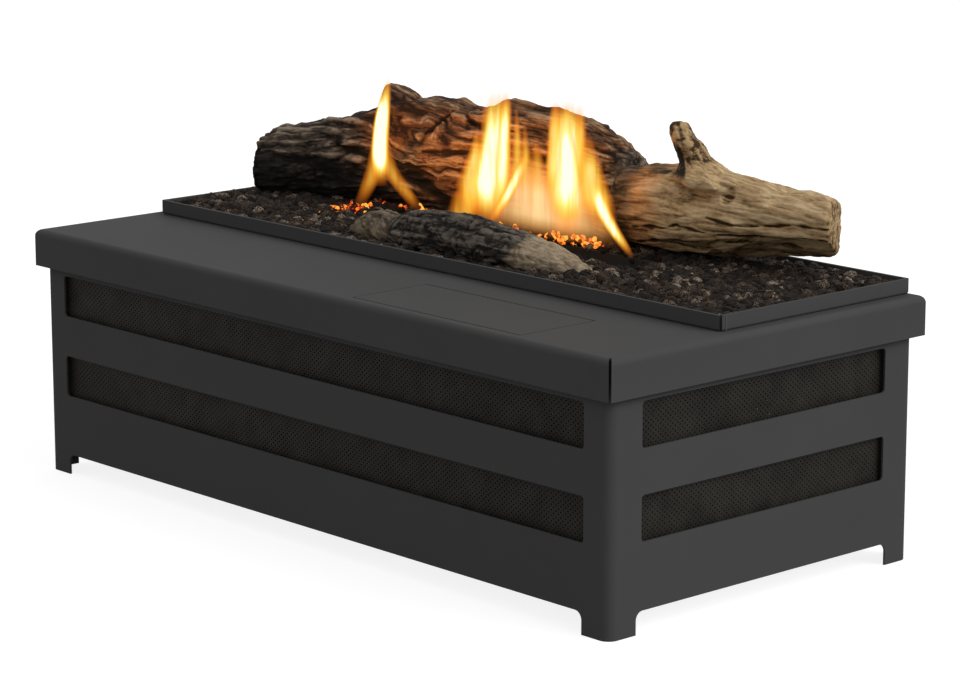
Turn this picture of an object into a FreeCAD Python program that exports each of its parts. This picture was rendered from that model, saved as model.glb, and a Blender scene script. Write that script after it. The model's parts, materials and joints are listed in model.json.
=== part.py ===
"""Bioethanol fire basket: a folded steel casing with meshed air slots, a wick burner under a tray of
lava chips and ceramic logs, and a fuel tank that is filled under a flush tipping hatch.
Millimetres, +Z up, origin on the floor under the middle of the casing, +X to the right from the front."""
import FreeCAD
import Part
import math
import os
import random

V = FreeCAD.Vector
ALONG_X = V(1, 0, 0)
ALONG_Y = V(0, 1, 0)
ALONG_Z = V(0, 0, 1)

# How far a cutter runs past a sheet, and how near counts as the same height
THROUGH = 1.0
NEAR = 1e-3

# Casing and lid
SHEET = 1.5
LID_WIDTH = 640.0
LID_DEPTH = 312.0
LID_TOP = 192.0
SKIRT_HEIGHT = 28.5
LID_BEND = 5.0
LID_OVERHANG = 6.0
CORNER_SLIT = 1.8
CASING_BEND = 8.0
FOOT_WIDTH = 25.5
FOOT_HEIGHT = 16.0
FOOT_FILLET = 6.0
REAR_RETURN = 22.0
FIT_GAP = 0.5

# Air slots and the mesh behind them
SLOT_HEIGHT = 32.0
LOWER_SLOT_Z = 63.0
SLOT_BELOW_SKIRT = 5.0
SLOT_END_LONG = 24.0
SLOT_END_SHORT = 30.0
SLOT_RADIUS = 3.0
MESH_LAP = 6.0
MESH_THICKNESS = 1.0
SPACER_THICKNESS = 3.0
SPACER_REVEAL = 1.5
HOLE_CLEARANCE = 0.2

# Screws
SCREW_RADIUS = 2.5
SCREW_HEAD_FLATS = 8.0
SCREW_HEAD_HEIGHT = 3.0
SCREW_TAIL = 4.0

# Base plate and its corner brackets
BASE_TOP = 52.0
BRACKET_LENGTH = 40.0
BRACKET_LEG = 18.0
BRACKET_THICKNESS = 2.0
BRACKET_FROM_CORNER = 8.0
AIR_SLOT_LENGTH = 46.0
AIR_SLOT_WIDTH = 7.0
AIR_SLOT_FROM_WALL = 36.5
AIR_SLOT_PITCH = 150.0
AIR_SLOT_COUNT = 3

# Clips under the lid that keep it centred on the casing
CLIP_LENGTH = 40.0
CLIP_LEG = 14.0
CLIP_DROP = 20.0
CLIP_Y = 70.0

# Hatch and the well under it
HATCH_WIDTH = 171.0
HATCH_DEPTH = 67.5
HATCH_FROM_RIGHT = 96.0
HATCH_FROM_FRONT = 11.0
HATCH_GAP = 1.2
PIVOT_FROM_REAR = 20.0
PIVOT_DROP = 5.5
PIN_RADIUS = 2.0
PIN_FIT = 0.05
EAR_INSET = 1.0
EAR_LENGTH = 12.0
EAR_DROP = 4.0
HINGE_PLATE = 2.0
HINGE_OFFSET = 4.0
HINGE_FOOT = 5.0
WELL_ABOVE_TANK = 2.5
WELL_SIDE_ROOM = 13.0
WELL_REAR_ROOM = 5.5
WELL_FLANGE = 8.0
WELL_FRONT_GAP = 0.5

# Fuel tank, filler and dipstick
TANK_LENGTH = 260.0
TANK_END_ROOM = 2.5
TANK_FRONT_ROOM = 10.5
TANK_REAR_ROOM = 16.0
TANK_BELOW_LID = 50.0
TANK_FOOT_REAR_INSET = 6.0
TANK_FOOT_FRONT_INSET = 30.0
TANK_RIM = 5.0
TANK_FOOT = 14.0
TANK_SCREW_INSET = 10.0
NECK_FROM_HATCH_END = 39.0
NECK_FROM_WELL_FRONT = 25.0
NECK_RADIUS = 14.0
NECK_WALL = 2.0
NECK_FLANGE_FLATS = 38.0
NECK_HEIGHT = 24.0
CAP_FLATS = 36.0
CAP_SIDES = 8
CAP_FIT = 0.3
CAP_SKIRT = 16.0
CAP_CROWN = 6.0
CAP_CHAMFER = 2.0
GASKET_THICKNESS = 2.0
DIPSTICK_RADIUS = 2.0
DIPSTICK_FLOOR_GAP = 8.0
BLADE_WIDTH = 8.0
BLADE_THICKNESS = 2.0
BLADE_LENGTH = 45.0

# Burner, wick and mouth
BURNER_FROM_TRAY_FRONT = 95.5
MOUTH_LENGTH = 290.0
MOUTH_WIDTH = 36.0
TROUGH_END_MARGIN = 13.0
TROUGH_SIDE_MARGIN = 9.0
TROUGH_BELOW_LID = 14.0
TROUGH_FOOT = 18.0
WICK_GAP = 0.5
WICK_BELOW_TOP = 7.0
WICK_INLET = 12.0
GAUZE_THICKNESS = 0.8
COLLAR_FLANGE = 5.0
COLLAR_RISE = 8.0
COLLAR_DROP = 8.0
LID_MOUTH_ROOM = 4.0
PIPE_FROM_TANK_END = 28.0
PIPE_HEIGHT = 16.0
PIPE_RADIUS = 6.0
PIPE_WALL = 1.5
PIPE_INTO_WALL = 1.2
UNION_FLATS = 19.0
UNION_LENGTH = 8.0

# Shutter with its rails, rod and knob
SHUTTER_SET_BACK = 12.0
SHUTTER_LAP = 5.0
SHUTTER_RAIL_GRIP = 8.0
RAIL_GAP = 0.3
RAIL_SIDE_GAP = 1.0
RAIL_RUN_ON = 4.0
RAIL_LEG = 18.0
ROD_FROM_HATCH_END = 42.0
ROD_ABOVE_WELL = 9.0
ROD_RADIUS = 3.0
ROD_FIT = 0.05
TONGUE_WIDTH = 20.0
TAB_FROM_BUSH = 7.0
TAB_BELOW_ROD = 7.0
ROD_NUT_FLATS = 10.0
ROD_NUT_HEIGHT = 4.0
ROD_PROUD = 1.0
BUSH_FLATS = 14.0
BUSH_LENGTH = 9.0
KNOB_RADIUS = 8.0
KNOB_LENGTH = 14.0
KNOB_FROM_WELL_FRONT = 3.5
KNOB_EDGE = 1.5
KNOB_SIDES = 10

# Heat shield between tank and burner
SHIELD_FROM_TROUGH = 25.5
SHIELD_END_ROOM = 12.5
SHIELD_BELOW_TROUGH_TOP = 3.0
SHIELD_FOOT = 14.0
SHIELD_NOTCH_ROOM = 6.0
SHIELD_PIPE_ROOM = 2.0

# Ember tray and what lies in it
TRAY_END_LEDGE = 12.0
TRAY_DEPTH = 192.0
TRAY_REAR_LEDGE = 5.0
TRAY_RIM_HEIGHT = 11.0
TRAY_RIM = 2.5
TRAY_BEND = 2.0
BED_GAP = 0.3
BED_DEPTH = 6.0
CHIP_PITCH = 23.0
CHIP_RADIUS = 5.6
CHIP_TOP_RADIUS = 3.4
CHIP_LEAST_HEIGHT = 2.5
CHIP_MOST_HEIGHT = 5.0
CHIP_UNEVEN = 0.18
CHIP_SIDES = 5
CHIP_SEED = 7

# Ceramic logs, with bark ridges that wander from one station to the next
LOG_SIDES = 12
STUB_SIDES = 8
BARK_RIDGES = 3
BARK_RELIEF = 0.05
BARK_TWIST = 1.7
LOG_SINK = 8.0
LOG_JOIN_GAP = 1.5
LOG_CLEAR = 9.0
REAR_LOG_FROM_LEFT = 17.5
REAR_LOG_END = 73.0
RIGHT_LOG_FROM_RIGHT = 37.0
FRONT_LOG_START = -59.0
FRONT_LOG_END = 130.0
SMALL_LOG_START = -107.0

# Stations along each log: share of its length, middle in Y from the burner's line, half depth, height of the
# underside above the chips, thickness
REAR_LOG = (
    (0.00, 8.0, 22.0, 0.0, 48.0),
    (0.05, 12.0, 25.0, 0.0, 56.0),
    (0.16, 28.0, 27.0, 0.0, 68.0),
    (0.25, 39.0, 28.0, 0.0, 76.0),
    (0.37, 50.0, 30.0, 0.0, 90.0),
    (0.45, 54.0, 32.0, 0.0, 88.0),
    (0.54, 56.0, 33.0, 0.0, 85.5),
    (0.64, 57.0, 34.0, 0.0, 95.5),
    (0.76, 57.0, 34.0, 0.0, 95.0),
    (0.87, 57.0, 33.0, 0.0, 87.5),
    (0.96, 56.0, 31.0, 0.0, 77.5),
    (1.00, 55.0, 28.0, 0.0, 70.0),
)
RIGHT_LOG = (
    (0.00, 46.0, 22.0, 0.0, 60.0),
    (0.12, 47.0, 25.0, 0.0, 65.0),
    (0.28, 49.0, 27.0, 0.0, 69.0),
    (0.45, 53.0, 27.0, 1.0, 67.0),
    (0.62, 57.0, 26.0, 4.0, 62.0),
    (0.80, 61.0, 24.0, 10.0, 54.0),
    (0.90, 61.0, 21.0, 14.0, 50.0),
    (1.00, 55.0, 11.0, 20.0, 43.0),
)
FRONT_LOG = (
    (0.00, -57.0, 13.0, 0.0, 19.0),
    (0.06, -57.0, 16.0, 0.0, 23.0),
    (0.25, -55.0, 17.0, 0.0, 27.0),
    (0.42, -54.0, 17.0, 0.0, 28.5),
    (0.58, -54.5, 18.0, 0.0, 25.0),
    (0.74, -53.0, 16.5, 0.0, 19.0),
    (0.90, -49.5, 12.5, 0.0, 12.0),
    (1.00, -48.0, 6.0, 0.0, 5.5),
)
SMALL_LOG = (
    (0.00, -55.0, 9.0, 0.0, 10.0),
    (0.18, -55.0, 13.0, 0.0, 15.0),
    (0.60, -56.0, 14.0, 0.0, 19.0),
    (1.00, -57.0, 12.0, 0.0, 17.0),
)

# Branch stubs: foot and tip from the burner's line and the top of the chips, and the radius at each
KNOB_FOOT = (-171.0, 45.0, 58.0)
KNOB_TIP = (-176.0, 45.0, 95.0)
KNOB_FOOT_RADIUS = 27.0
KNOB_TIP_RADIUS = 13.0
BRANCH_FOOT = (156.0, 51.0, 57.0)
BRANCH_TIP = (134.5, 48.0, 100.0)
BRANCH_FOOT_RADIUS = 26.0
BRANCH_TIP_RADIUS = 9.5

# Places that follow from the sizes above
LID_HALF_X = LID_WIDTH / 2
LID_HALF_Y = LID_DEPTH / 2
CASING_HALF_X = LID_HALF_X - LID_OVERHANG
CASING_HALF_Y = LID_HALF_Y - LID_OVERHANG
INNER_HALF_X = CASING_HALF_X - SHEET
INNER_HALF_Y = CASING_HALF_Y - SHEET
LID_UNDER = LID_TOP - SHEET
SLOT_HALF_LONG = CASING_HALF_X - SLOT_END_LONG
SLOT_HALF_SHORT = CASING_HALF_Y - SLOT_END_SHORT
UPPER_SLOT_Z = LID_TOP - SKIRT_HEIGHT - SLOT_BELOW_SKIRT - SLOT_HEIGHT
SLOT_FLOORS = (LOWER_SLOT_Z, UPPER_SLOT_Z)
BASE_UNDER = BASE_TOP - SHEET
REAR_PANEL_Y = INNER_HALF_Y - SHEET

HATCH_X1 = LID_HALF_X - HATCH_FROM_RIGHT
HATCH_X0 = HATCH_X1 - HATCH_WIDTH
HATCH_Y0 = -LID_HALF_Y + HATCH_FROM_FRONT
HATCH_Y1 = HATCH_Y0 + HATCH_DEPTH
PIVOT_Y = HATCH_Y1 - PIVOT_FROM_REAR
PIVOT_Z = LID_TOP - PIVOT_DROP
MESH_BACK_X = INNER_HALF_X - SPACER_THICKNESS - MESH_THICKNESS
MESH_BACK_Y = INNER_HALF_Y - SPACER_THICKNESS - MESH_THICKNESS
WELL_X0 = HATCH_X0 - WELL_SIDE_ROOM - SHEET
WELL_X1 = HATCH_X1 + WELL_SIDE_ROOM + SHEET
WELL_Y0 = -MESH_BACK_Y + WELL_FRONT_GAP
WELL_Y1 = HATCH_Y1 + WELL_REAR_ROOM + SHEET

TRAY_HALF_X = LID_HALF_X - TRAY_END_LEDGE
TRAY_Y1 = LID_HALF_Y - TRAY_REAR_LEDGE
TRAY_Y0 = TRAY_Y1 - TRAY_DEPTH
TRAY_FLOOR = LID_TOP + SHEET

BURNER_Y = TRAY_Y0 + BURNER_FROM_TRAY_FRONT
TROUGH_HALF_X = MOUTH_LENGTH / 2 + TROUGH_END_MARGIN
TROUGH_Y0 = BURNER_Y - MOUTH_WIDTH / 2 - TROUGH_SIDE_MARGIN
TROUGH_Y1 = BURNER_Y + MOUTH_WIDTH / 2 + TROUGH_SIDE_MARGIN
TROUGH_TOP = LID_TOP - TROUGH_BELOW_LID
WICK_TOP = TROUGH_TOP - WICK_BELOW_TOP
SHIELD_Y = TROUGH_Y0 - SHIELD_FROM_TROUGH
SHIELD_TOP = TROUGH_TOP - SHIELD_BELOW_TROUGH_TOP

TANK_RIGHT_X = MESH_BACK_X - TANK_END_ROOM - TANK_FOOT
TANK_X0 = TANK_RIGHT_X - TANK_LENGTH
TANK_Y0 = -MESH_BACK_Y + TANK_FRONT_ROOM
TANK_REAR_Y = SHIELD_Y - TANK_REAR_ROOM
TANK_TOP = LID_TOP - TANK_BELOW_LID
WELL_UNDER = TANK_TOP + WELL_ABOVE_TANK
WELL_FLOOR = WELL_UNDER + SHEET
NECK_X = HATCH_X1 - NECK_FROM_HATCH_END
NECK_Y = WELL_Y0 + SHEET + NECK_FROM_WELL_FRONT
NECK_TOP = TANK_TOP + NECK_HEIGHT
PIPE_X = TANK_X0 + PIPE_FROM_TANK_END
PIPE_Z = BASE_TOP + PIPE_HEIGHT

RAIL_FLOOR = TROUGH_TOP + RAIL_GAP
SHUTTER_Z = RAIL_FLOOR + SHEET + RAIL_GAP
SHUTTER_HALF_X = TROUGH_HALF_X + SHUTTER_RAIL_GRIP
SHUTTER_HALF_Y = MOUTH_WIDTH / 2 + SHUTTER_LAP
SHUTTER_TRAVEL = MOUTH_WIDTH + SHUTTER_SET_BACK
SHUTTER_Y0 = BURNER_Y - SHUTTER_HALF_Y - SHUTTER_TRAVEL
SHUTTER_Y1 = BURNER_Y + SHUTTER_HALF_Y - SHUTTER_TRAVEL
TAB_Y = WELL_Y1 + BUSH_LENGTH + TAB_FROM_BUSH
ROD_X = HATCH_X0 + ROD_FROM_HATCH_END
ROD_Z = WELL_FLOOR + ROD_ABOVE_WELL
KNOB_Y = WELL_Y0 + SHEET + KNOB_FROM_WELL_FRONT

COLLAR_HALF_X = MOUTH_LENGTH / 2 + SHEET
COLLAR_HALF_Y = MOUTH_WIDTH / 2 + SHEET
BED_HALF_X = TRAY_HALF_X - TRAY_RIM - BED_GAP
BED_Y0 = TRAY_Y0 + TRAY_RIM + BED_GAP
BED_Y1 = TRAY_Y1 - TRAY_RIM - BED_GAP
BED_TOP = TRAY_FLOOR + BED_DEPTH

parts = {}


# Shared shapes


def box(x0, x1, y0, y1, z0, z1):
    return Part.makeBox(x1 - x0, y1 - y0, z1 - z0, V(x0, y0, z0))


def runs_along(edge, direction):
    """True for a straight edge parallel to a direction."""
    if not isinstance(edge.Curve, Part.Line):
        return False
    return edge.tangentAt(edge.FirstParameter).cross(direction).Length < NEAR


def rounded(shape, radius, direction, keep=None):
    """Rounds the straight edges along a direction, or those of them whose middle passes a test."""
    edges = [e for e in shape.Edges if runs_along(e, direction)]
    if keep:
        edges = [e for e in edges if keep(e.CenterOfMass)]
    return shape.makeFillet(radius, edges)


def cylinder(radius, start, direction, length):
    return Part.makeCylinder(radius, length, start, direction)


def tube(radius, bore, start, direction, length):
    return cylinder(radius, start, direction, length).cut(cylinder(bore, start, direction, length))


def prism(points, path):
    """A closed outline pushed along a vector."""
    return Part.Face(Part.makePolygon(points + points[:1])).extrude(path)


def polygon_bar(flats, sides, start, direction, height):
    """A regular bar standing on its start point, measured across its flats."""
    across = ALONG_Z if abs(direction.z) < 0.5 else ALONG_X
    side = direction.cross(across)
    reach = flats / 2 / math.cos(math.pi / sides)
    turns = [2 * math.pi * i / sides for i in range(sides)]
    points = [start + across * (reach * math.cos(t)) + side * (reach * math.sin(t)) for t in turns]
    return prism(points, direction * height)


def hexagon(flats, start, direction, height):
    return polygon_bar(flats, 6, start, direction, height)


def nut(flats, start, direction, height, bore):
    """A hexagon nut with a plain bore."""
    return hexagon(flats, start, direction, height).cut(cylinder(bore, start, direction, height))


def screw(seat, direction, grip):
    """A hexagon screw whose head stands on its seat and whose shank goes the other way."""
    head = hexagon(SCREW_HEAD_FLATS, seat, direction, SCREW_HEAD_HEIGHT)
    return head.fuse(cylinder(SCREW_RADIUS, seat, direction * -1, grip + SCREW_TAIL))


def screw_hole(seat, direction, grip):
    """The clearance hole for a screw through sheets of the given thickness."""
    reach = grip + 2 * HOLE_CLEARANCE
    return cylinder(SCREW_RADIUS + HOLE_CLEARANCE, seat + direction * HOLE_CLEARANCE, direction * -1, reach)


def angle_bar(face, side, y, length, top, drop, leg, thickness):
    """An angle along Y: its upright leg's face looks to the given side, its level leg's face looks up."""
    back = face - side * thickness
    toe = face - side * leg
    outline = [
        V(face, y, top),
        V(face, y, top - drop),
        V(back, y, top - drop),
        V(back, y, top - thickness),
        V(toe, y, top - thickness),
        V(toe, y, top),
    ]
    return prism(outline, V(0, length, 0))


def corner_slits(half_x, y0, y1, depth, z0, z1):
    """Diagonal cuts that leave the folded corners of a pan or cover open."""
    cuts = []
    for x, x_in in ((half_x, -1), (-half_x, 1)):
        for y, y_in in ((y0, 1), (y1, -1)):
            inward = V(x_in, y_in, 0).normalize()
            across = V(-inward.y, inward.x, 0) * (CORNER_SLIT / 2)
            start = V(x, y, z0) - inward * CORNER_SLIT
            end = V(x, y, z0) + inward * (depth * math.sqrt(2))
            outline = [start - across, end - across, end + across, start + across]
            cuts.append(prism(outline, V(0, 0, z1 - z0)))
    return cuts


# Casing


def slot_cutter(floor, direction):
    """A round-cornered bar that cuts one air slot through the walls on both sides of the casing."""
    z1 = floor + SLOT_HEIGHT
    if direction == ALONG_Y:
        bar = box(-SLOT_HALF_LONG, SLOT_HALF_LONG, -LID_HALF_Y, LID_HALF_Y, floor, z1)
    else:
        bar = box(-LID_HALF_X, LID_HALF_X, -SLOT_HALF_SHORT, SLOT_HALF_SHORT, floor, z1)
    return rounded(bar, SLOT_RADIUS, direction)


def foot_notches():
    """The two bars that cut the lower edge away between the corner feet."""
    half_x = CASING_HALF_X - FOOT_WIDTH
    half_y = CASING_HALF_Y - FOOT_WIDTH
    below = -FOOT_HEIGHT
    front = box(-half_x, half_x, -LID_HALF_Y, LID_HALF_Y, below, FOOT_HEIGHT)
    side = box(-LID_HALF_X, LID_HALF_X, -half_y, half_y, below, FOOT_HEIGHT)
    front = rounded(front, FOOT_FILLET, ALONG_Y, lambda c: c.z > 0)
    side = rounded(side, FOOT_FILLET, ALONG_X, lambda c: c.z > 0)
    return [front, side]


def body_wrapper():
    """One bent strip: front, sides and short returns at the rear, with the feet cut from its lower edge."""
    outer = box(-CASING_HALF_X, CASING_HALF_X, -CASING_HALF_Y, CASING_HALF_Y, 0, LID_UNDER)
    inner = box(-INNER_HALF_X, INNER_HALF_X, -INNER_HALF_Y, INNER_HALF_Y, -THROUGH, LID_TOP)
    strip = rounded(outer, CASING_BEND, ALONG_Z).cut(rounded(inner, CASING_BEND - SHEET, ALONG_Z))
    gap = CASING_HALF_X - REAR_RETURN
    cuts = [box(-gap, gap, 0, LID_HALF_Y, -THROUGH, LID_TOP)]
    for floor in SLOT_FLOORS:
        cuts.append(slot_cutter(floor, ALONG_Y))
        cuts.append(slot_cutter(floor, ALONG_X))
    return strip.cut(cuts + foot_notches())


def rear_panel():
    """The flat back, welded inside the returns of the strip."""
    half = INNER_HALF_X - (CASING_BEND - SHEET) - FIT_GAP
    panel = box(-half, half, REAR_PANEL_Y, INNER_HALF_Y, FOOT_HEIGHT, LID_UNDER)
    return panel.cut([slot_cutter(floor, ALONG_Y) for floor in SLOT_FLOORS])


def lid():
    """A flat top with four folded skirts, open at the corners, cut out for the hatch and the burner."""
    skirt_z = LID_TOP - SKIRT_HEIGHT
    outer = box(-LID_HALF_X, LID_HALF_X, -LID_HALF_Y, LID_HALF_Y, skirt_z, LID_TOP)
    inner_x = LID_HALF_X - SHEET
    inner_y = LID_HALF_Y - SHEET
    inner = box(-inner_x, inner_x, -inner_y, inner_y, skirt_z - SKIRT_HEIGHT, LID_UNDER)
    outer_top = [e for e in outer.Edges if e.CenterOfMass.z > LID_TOP - NEAR]
    inner_top = [e for e in inner.Edges if e.CenterOfMass.z > LID_UNDER - NEAR]
    shell = outer.makeFillet(LID_BEND, outer_top).cut(inner.makeFillet(LID_BEND - SHEET, inner_top))
    low = LID_UNDER - THROUGH
    high = LID_TOP + THROUGH
    cuts = corner_slits(LID_HALF_X, -LID_HALF_Y, LID_HALF_Y, LID_BEND, skirt_z - THROUGH, high)
    x0 = HATCH_X0 - HATCH_GAP
    x1 = HATCH_X1 + HATCH_GAP
    cuts.append(box(x0, x1, HATCH_Y0 - HATCH_GAP, HATCH_Y1 + HATCH_GAP, low, high))
    half_x = COLLAR_HALF_X + LID_MOUTH_ROOM
    half_y = COLLAR_HALF_Y + LID_MOUTH_ROOM
    cuts.append(box(-half_x, half_x, BURNER_Y - half_y, BURNER_Y + half_y, low, high))
    return shell.cut(cuts)


def lid_clips():
    """Angles under the lid that stand just inside the side walls."""
    clips = []
    for side in (-1, 1):
        for y in (-CLIP_Y, CLIP_Y):
            face = side * (INNER_HALF_X - FIT_GAP)
            start = y - CLIP_LENGTH / 2
            clips.append(angle_bar(face, side, start, CLIP_LENGTH, LID_UNDER, CLIP_DROP, CLIP_LEG, SHEET))
    return clips


# Mesh panels and their spacers


def wall_frames():
    """Each wall's name, its inward direction and the point at the middle of its inner face."""
    return (
        ("front", ALONG_Y, V(0, -INNER_HALF_Y, 0)),
        ("rear", ALONG_Y * -1, V(0, REAR_PANEL_Y, 0)),
        ("left", ALONG_X, V(-INNER_HALF_X, 0, 0)),
        ("right", ALONG_X * -1, V(INNER_HALF_X, 0, 0)),
    )


def wall_sheet(inward, face, near, far, half, z0, z1):
    """A sheet behind a wall, between two depths from the wall's inner face."""
    if abs(inward.y) > 0.5:
        y0, y1 = sorted((face.y + inward.y * near, face.y + inward.y * far))
        return box(-half, half, y0, y1, z0, z1)
    x0, x1 = sorted((face.x + inward.x * near, face.x + inward.x * far))
    return box(x0, x1, -half, half, z0, z1)


def mesh_sets():
    """Spacer frame and mesh sheet of each wall, welded one behind the other over both slots."""
    back = SPACER_THICKNESS + MESH_THICKNESS
    low = LOWER_SLOT_Z - MESH_LAP
    high = UPPER_SLOT_Z + SLOT_HEIGHT + MESH_LAP
    for name, inward, face in wall_frames():
        slot_half = SLOT_HALF_LONG if abs(inward.y) > 0.5 else SLOT_HALF_SHORT
        half = slot_half + MESH_LAP
        clear = slot_half + SPACER_REVEAL
        windows = []
        for floor in SLOT_FLOORS:
            z0 = floor - SPACER_REVEAL
            z1 = floor + SLOT_HEIGHT + SPACER_REVEAL
            windows.append(wall_sheet(inward, face, 0, SPACER_THICKNESS, clear, z0, z1))
        spacer = wall_sheet(inward, face, 0, SPACER_THICKNESS, half, low, high)
        parts["mesh_spacer_" + name] = spacer.cut(windows)
        parts["mesh_" + name] = wall_sheet(inward, face, SPACER_THICKNESS, back, half, low, high)


# Base plate


def corner_brackets():
    """Angles welded to the side walls near the corners, with a level leg that carries the base plate."""
    brackets = []
    far = INNER_HALF_Y - BRACKET_FROM_CORNER
    for side in (-1, 1):
        for y in (-far, far - BRACKET_LENGTH):
            sizes = (BASE_UNDER, BRACKET_LEG, BRACKET_LEG, BRACKET_THICKNESS)
            brackets.append(angle_bar(side * INNER_HALF_X, side, y, BRACKET_LENGTH, *sizes))
    return brackets


def air_slots():
    """Two rows of long slots that let air up into the casing."""
    cuts = []
    half_x = AIR_SLOT_LENGTH / 2
    half_y = AIR_SLOT_WIDTH / 2
    middle = (AIR_SLOT_COUNT - 1) / 2
    row_y = INNER_HALF_Y - AIR_SLOT_FROM_WALL
    for y in (-row_y, row_y):
        for i in range(AIR_SLOT_COUNT):
            x = (i - middle) * AIR_SLOT_PITCH
            cuts.append(box(x - half_x, x + half_x, y - half_y, y + half_y, BASE_UNDER, BASE_TOP))
    return cuts


def base_plate():
    half_x = INNER_HALF_X - FIT_GAP
    plate = box(-half_x, half_x, -INNER_HALF_Y + FIT_GAP, REAR_PANEL_Y - FIT_GAP, BASE_UNDER, BASE_TOP)
    upright = [e for e in plate.Edges if runs_along(e, ALONG_Z)]
    plate = plate.makeChamfer(CASING_BEND, upright)
    holes = [screw_hole(seat - ALONG_Z * SHEET, ALONG_Z, SHEET) for seat in tank_screw_seats()]
    return plate.cut(holes + air_slots())


# Hatch and well


def hatch():
    """The flush panel with two ears bent down inside its ends for the pivot pins."""
    panel = box(HATCH_X0, HATCH_X1, HATCH_Y0, HATCH_Y1, LID_UNDER, LID_TOP)
    half = EAR_LENGTH / 2
    for x0 in (HATCH_X0 + EAR_INSET, HATCH_X1 - EAR_INSET - SHEET):
        ear = box(x0, x0 + SHEET, PIVOT_Y - half, PIVOT_Y + half, PIVOT_Z - EAR_DROP, LID_UNDER)
        panel = panel.fuse(ear.cut(cylinder(PIN_RADIUS, V(x0, PIVOT_Y, PIVOT_Z), ALONG_X, SHEET)))
    return panel


def hinge_inner_faces():
    """The two hinge plates' faces nearest the hatch, each with the direction away from the hatch."""
    return ((HATCH_X0 - HINGE_OFFSET, -1), (HATCH_X1 + HINGE_OFFSET, 1))


def hatch_pins():
    pins = []
    for face, away in hinge_inner_faces():
        edge = HATCH_X0 if away < 0 else HATCH_X1
        inner_end = edge - away * (EAR_INSET + SHEET)
        outer_end = face + away * (HINGE_PLATE + PIN_RADIUS)
        start = V(min(inner_end, outer_end), PIVOT_Y, PIVOT_Z)
        pins.append(cylinder(PIN_RADIUS, start, ALONG_X, abs(outer_end - inner_end)))
    return pins


def hinge_plates():
    """Two angles under the lid, one at each end of the hatch, that carry the pivot pins."""
    plates = []
    leg = HINGE_PLATE + HINGE_FOOT
    drop = LID_UNDER - PIVOT_Z + EAR_DROP
    start = PIVOT_Y - EAR_LENGTH / 2
    for face, away in hinge_inner_faces():
        back = face + away * HINGE_PLATE
        plate = angle_bar(face, -away, start, EAR_LENGTH, LID_UNDER, drop, leg, HINGE_PLATE)
        bore = cylinder(PIN_RADIUS + PIN_FIT, V(min(face, back), PIVOT_Y, PIVOT_Z), ALONG_X, HINGE_PLATE)
        plates.append(plate.cut(bore))
    return plates


def filler_well():
    """A pan hung under the lid that catches spills: its front flange is also the hatch's seat."""
    pan = box(WELL_X0, WELL_X1, WELL_Y0, WELL_Y1, WELL_UNDER, LID_UNDER)
    x0 = WELL_X0 + SHEET
    x1 = WELL_X1 - SHEET
    y0 = WELL_Y0 + SHEET
    y1 = WELL_Y1 - SHEET
    hollow = box(x0, x1, y0, y1, WELL_FLOOR, LID_TOP)
    front = -INNER_HALF_Y + FIT_GAP
    rear = WELL_Y1 + WELL_FLANGE
    flange = box(WELL_X0 - WELL_FLANGE, WELL_X1 + WELL_FLANGE, front, rear, LID_UNDER - SHEET, LID_UNDER)
    neck_hole = cylinder(NECK_RADIUS + FIT_GAP, V(NECK_X, NECK_Y, WELL_UNDER), ALONG_Z, SHEET)
    rod_hole = cylinder(ROD_RADIUS + FIT_GAP, V(ROD_X, y1, ROD_Z), ALONG_Y, SHEET)
    return pan.fuse(flange).cut([hollow, neck_hole, rod_hole])


# Fuel tank and filler


def tank_screw_seats():
    """Two screws through the tank's right foot and one through the middle of its left foot."""
    left = TANK_X0 - TANK_FOOT / 2
    right = TANK_RIGHT_X + TANK_FOOT / 2
    rear = TANK_REAR_Y - TANK_FOOT_REAR_INSET - TANK_SCREW_INSET
    front = TANK_Y0 + TANK_FOOT_FRONT_INSET + TANK_SCREW_INSET
    places = ((right, front), (right, rear), (left, (front + rear) / 2))
    return [V(x, y, BASE_TOP + SHEET) for x, y in places]


def tank_pan():
    """An open-topped welded tank with a foot tab along each end."""
    outer = box(TANK_X0, TANK_RIGHT_X, TANK_Y0, TANK_REAR_Y, BASE_TOP, TANK_TOP - SHEET)
    x0 = TANK_X0 + SHEET
    x1 = TANK_RIGHT_X - SHEET
    hollow = box(x0, x1, TANK_Y0 + SHEET, TANK_REAR_Y - SHEET, BASE_TOP + SHEET, TANK_TOP)
    pan = outer.cut(hollow)
    foot_y0 = TANK_Y0 + TANK_FOOT_FRONT_INSET
    foot_y1 = TANK_REAR_Y - TANK_FOOT_REAR_INSET
    foot_top = BASE_TOP + SHEET
    feet = [
        box(TANK_X0 - TANK_FOOT, TANK_X0, foot_y0, foot_y1, BASE_TOP, foot_top),
        box(TANK_RIGHT_X, TANK_RIGHT_X + TANK_FOOT, foot_y0, foot_y1, BASE_TOP, foot_top),
    ]
    holes = [screw_hole(seat, ALONG_Z, SHEET) for seat in tank_screw_seats()]
    pipe = cylinder(PIPE_RADIUS + HOLE_CLEARANCE, V(PIPE_X, TANK_REAR_Y - SHEET, PIPE_Z), ALONG_Y, SHEET)
    return pan.fuse(feet).cut(holes + [pipe])


def tank_cover():
    """The tank's top with a lip folded down inside its walls."""
    top = box(TANK_X0, TANK_RIGHT_X, TANK_Y0, TANK_REAR_Y, TANK_TOP - SHEET, TANK_TOP)
    low = TANK_TOP - SHEET - TANK_RIM

    def inset_block(inset):
        x0 = TANK_X0 + inset
        x1 = TANK_RIGHT_X - inset
        return box(x0, x1, TANK_Y0 + inset, TANK_REAR_Y - inset, low, TANK_TOP - SHEET)

    wall = SHEET + PIN_FIT
    lip = inset_block(wall).cut(inset_block(wall + SHEET))
    hole = cylinder(NECK_RADIUS - NECK_WALL, V(NECK_X, NECK_Y, low), ALONG_Z, TANK_RIM + SHEET)
    return top.fuse(lip).cut(hole)


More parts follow.
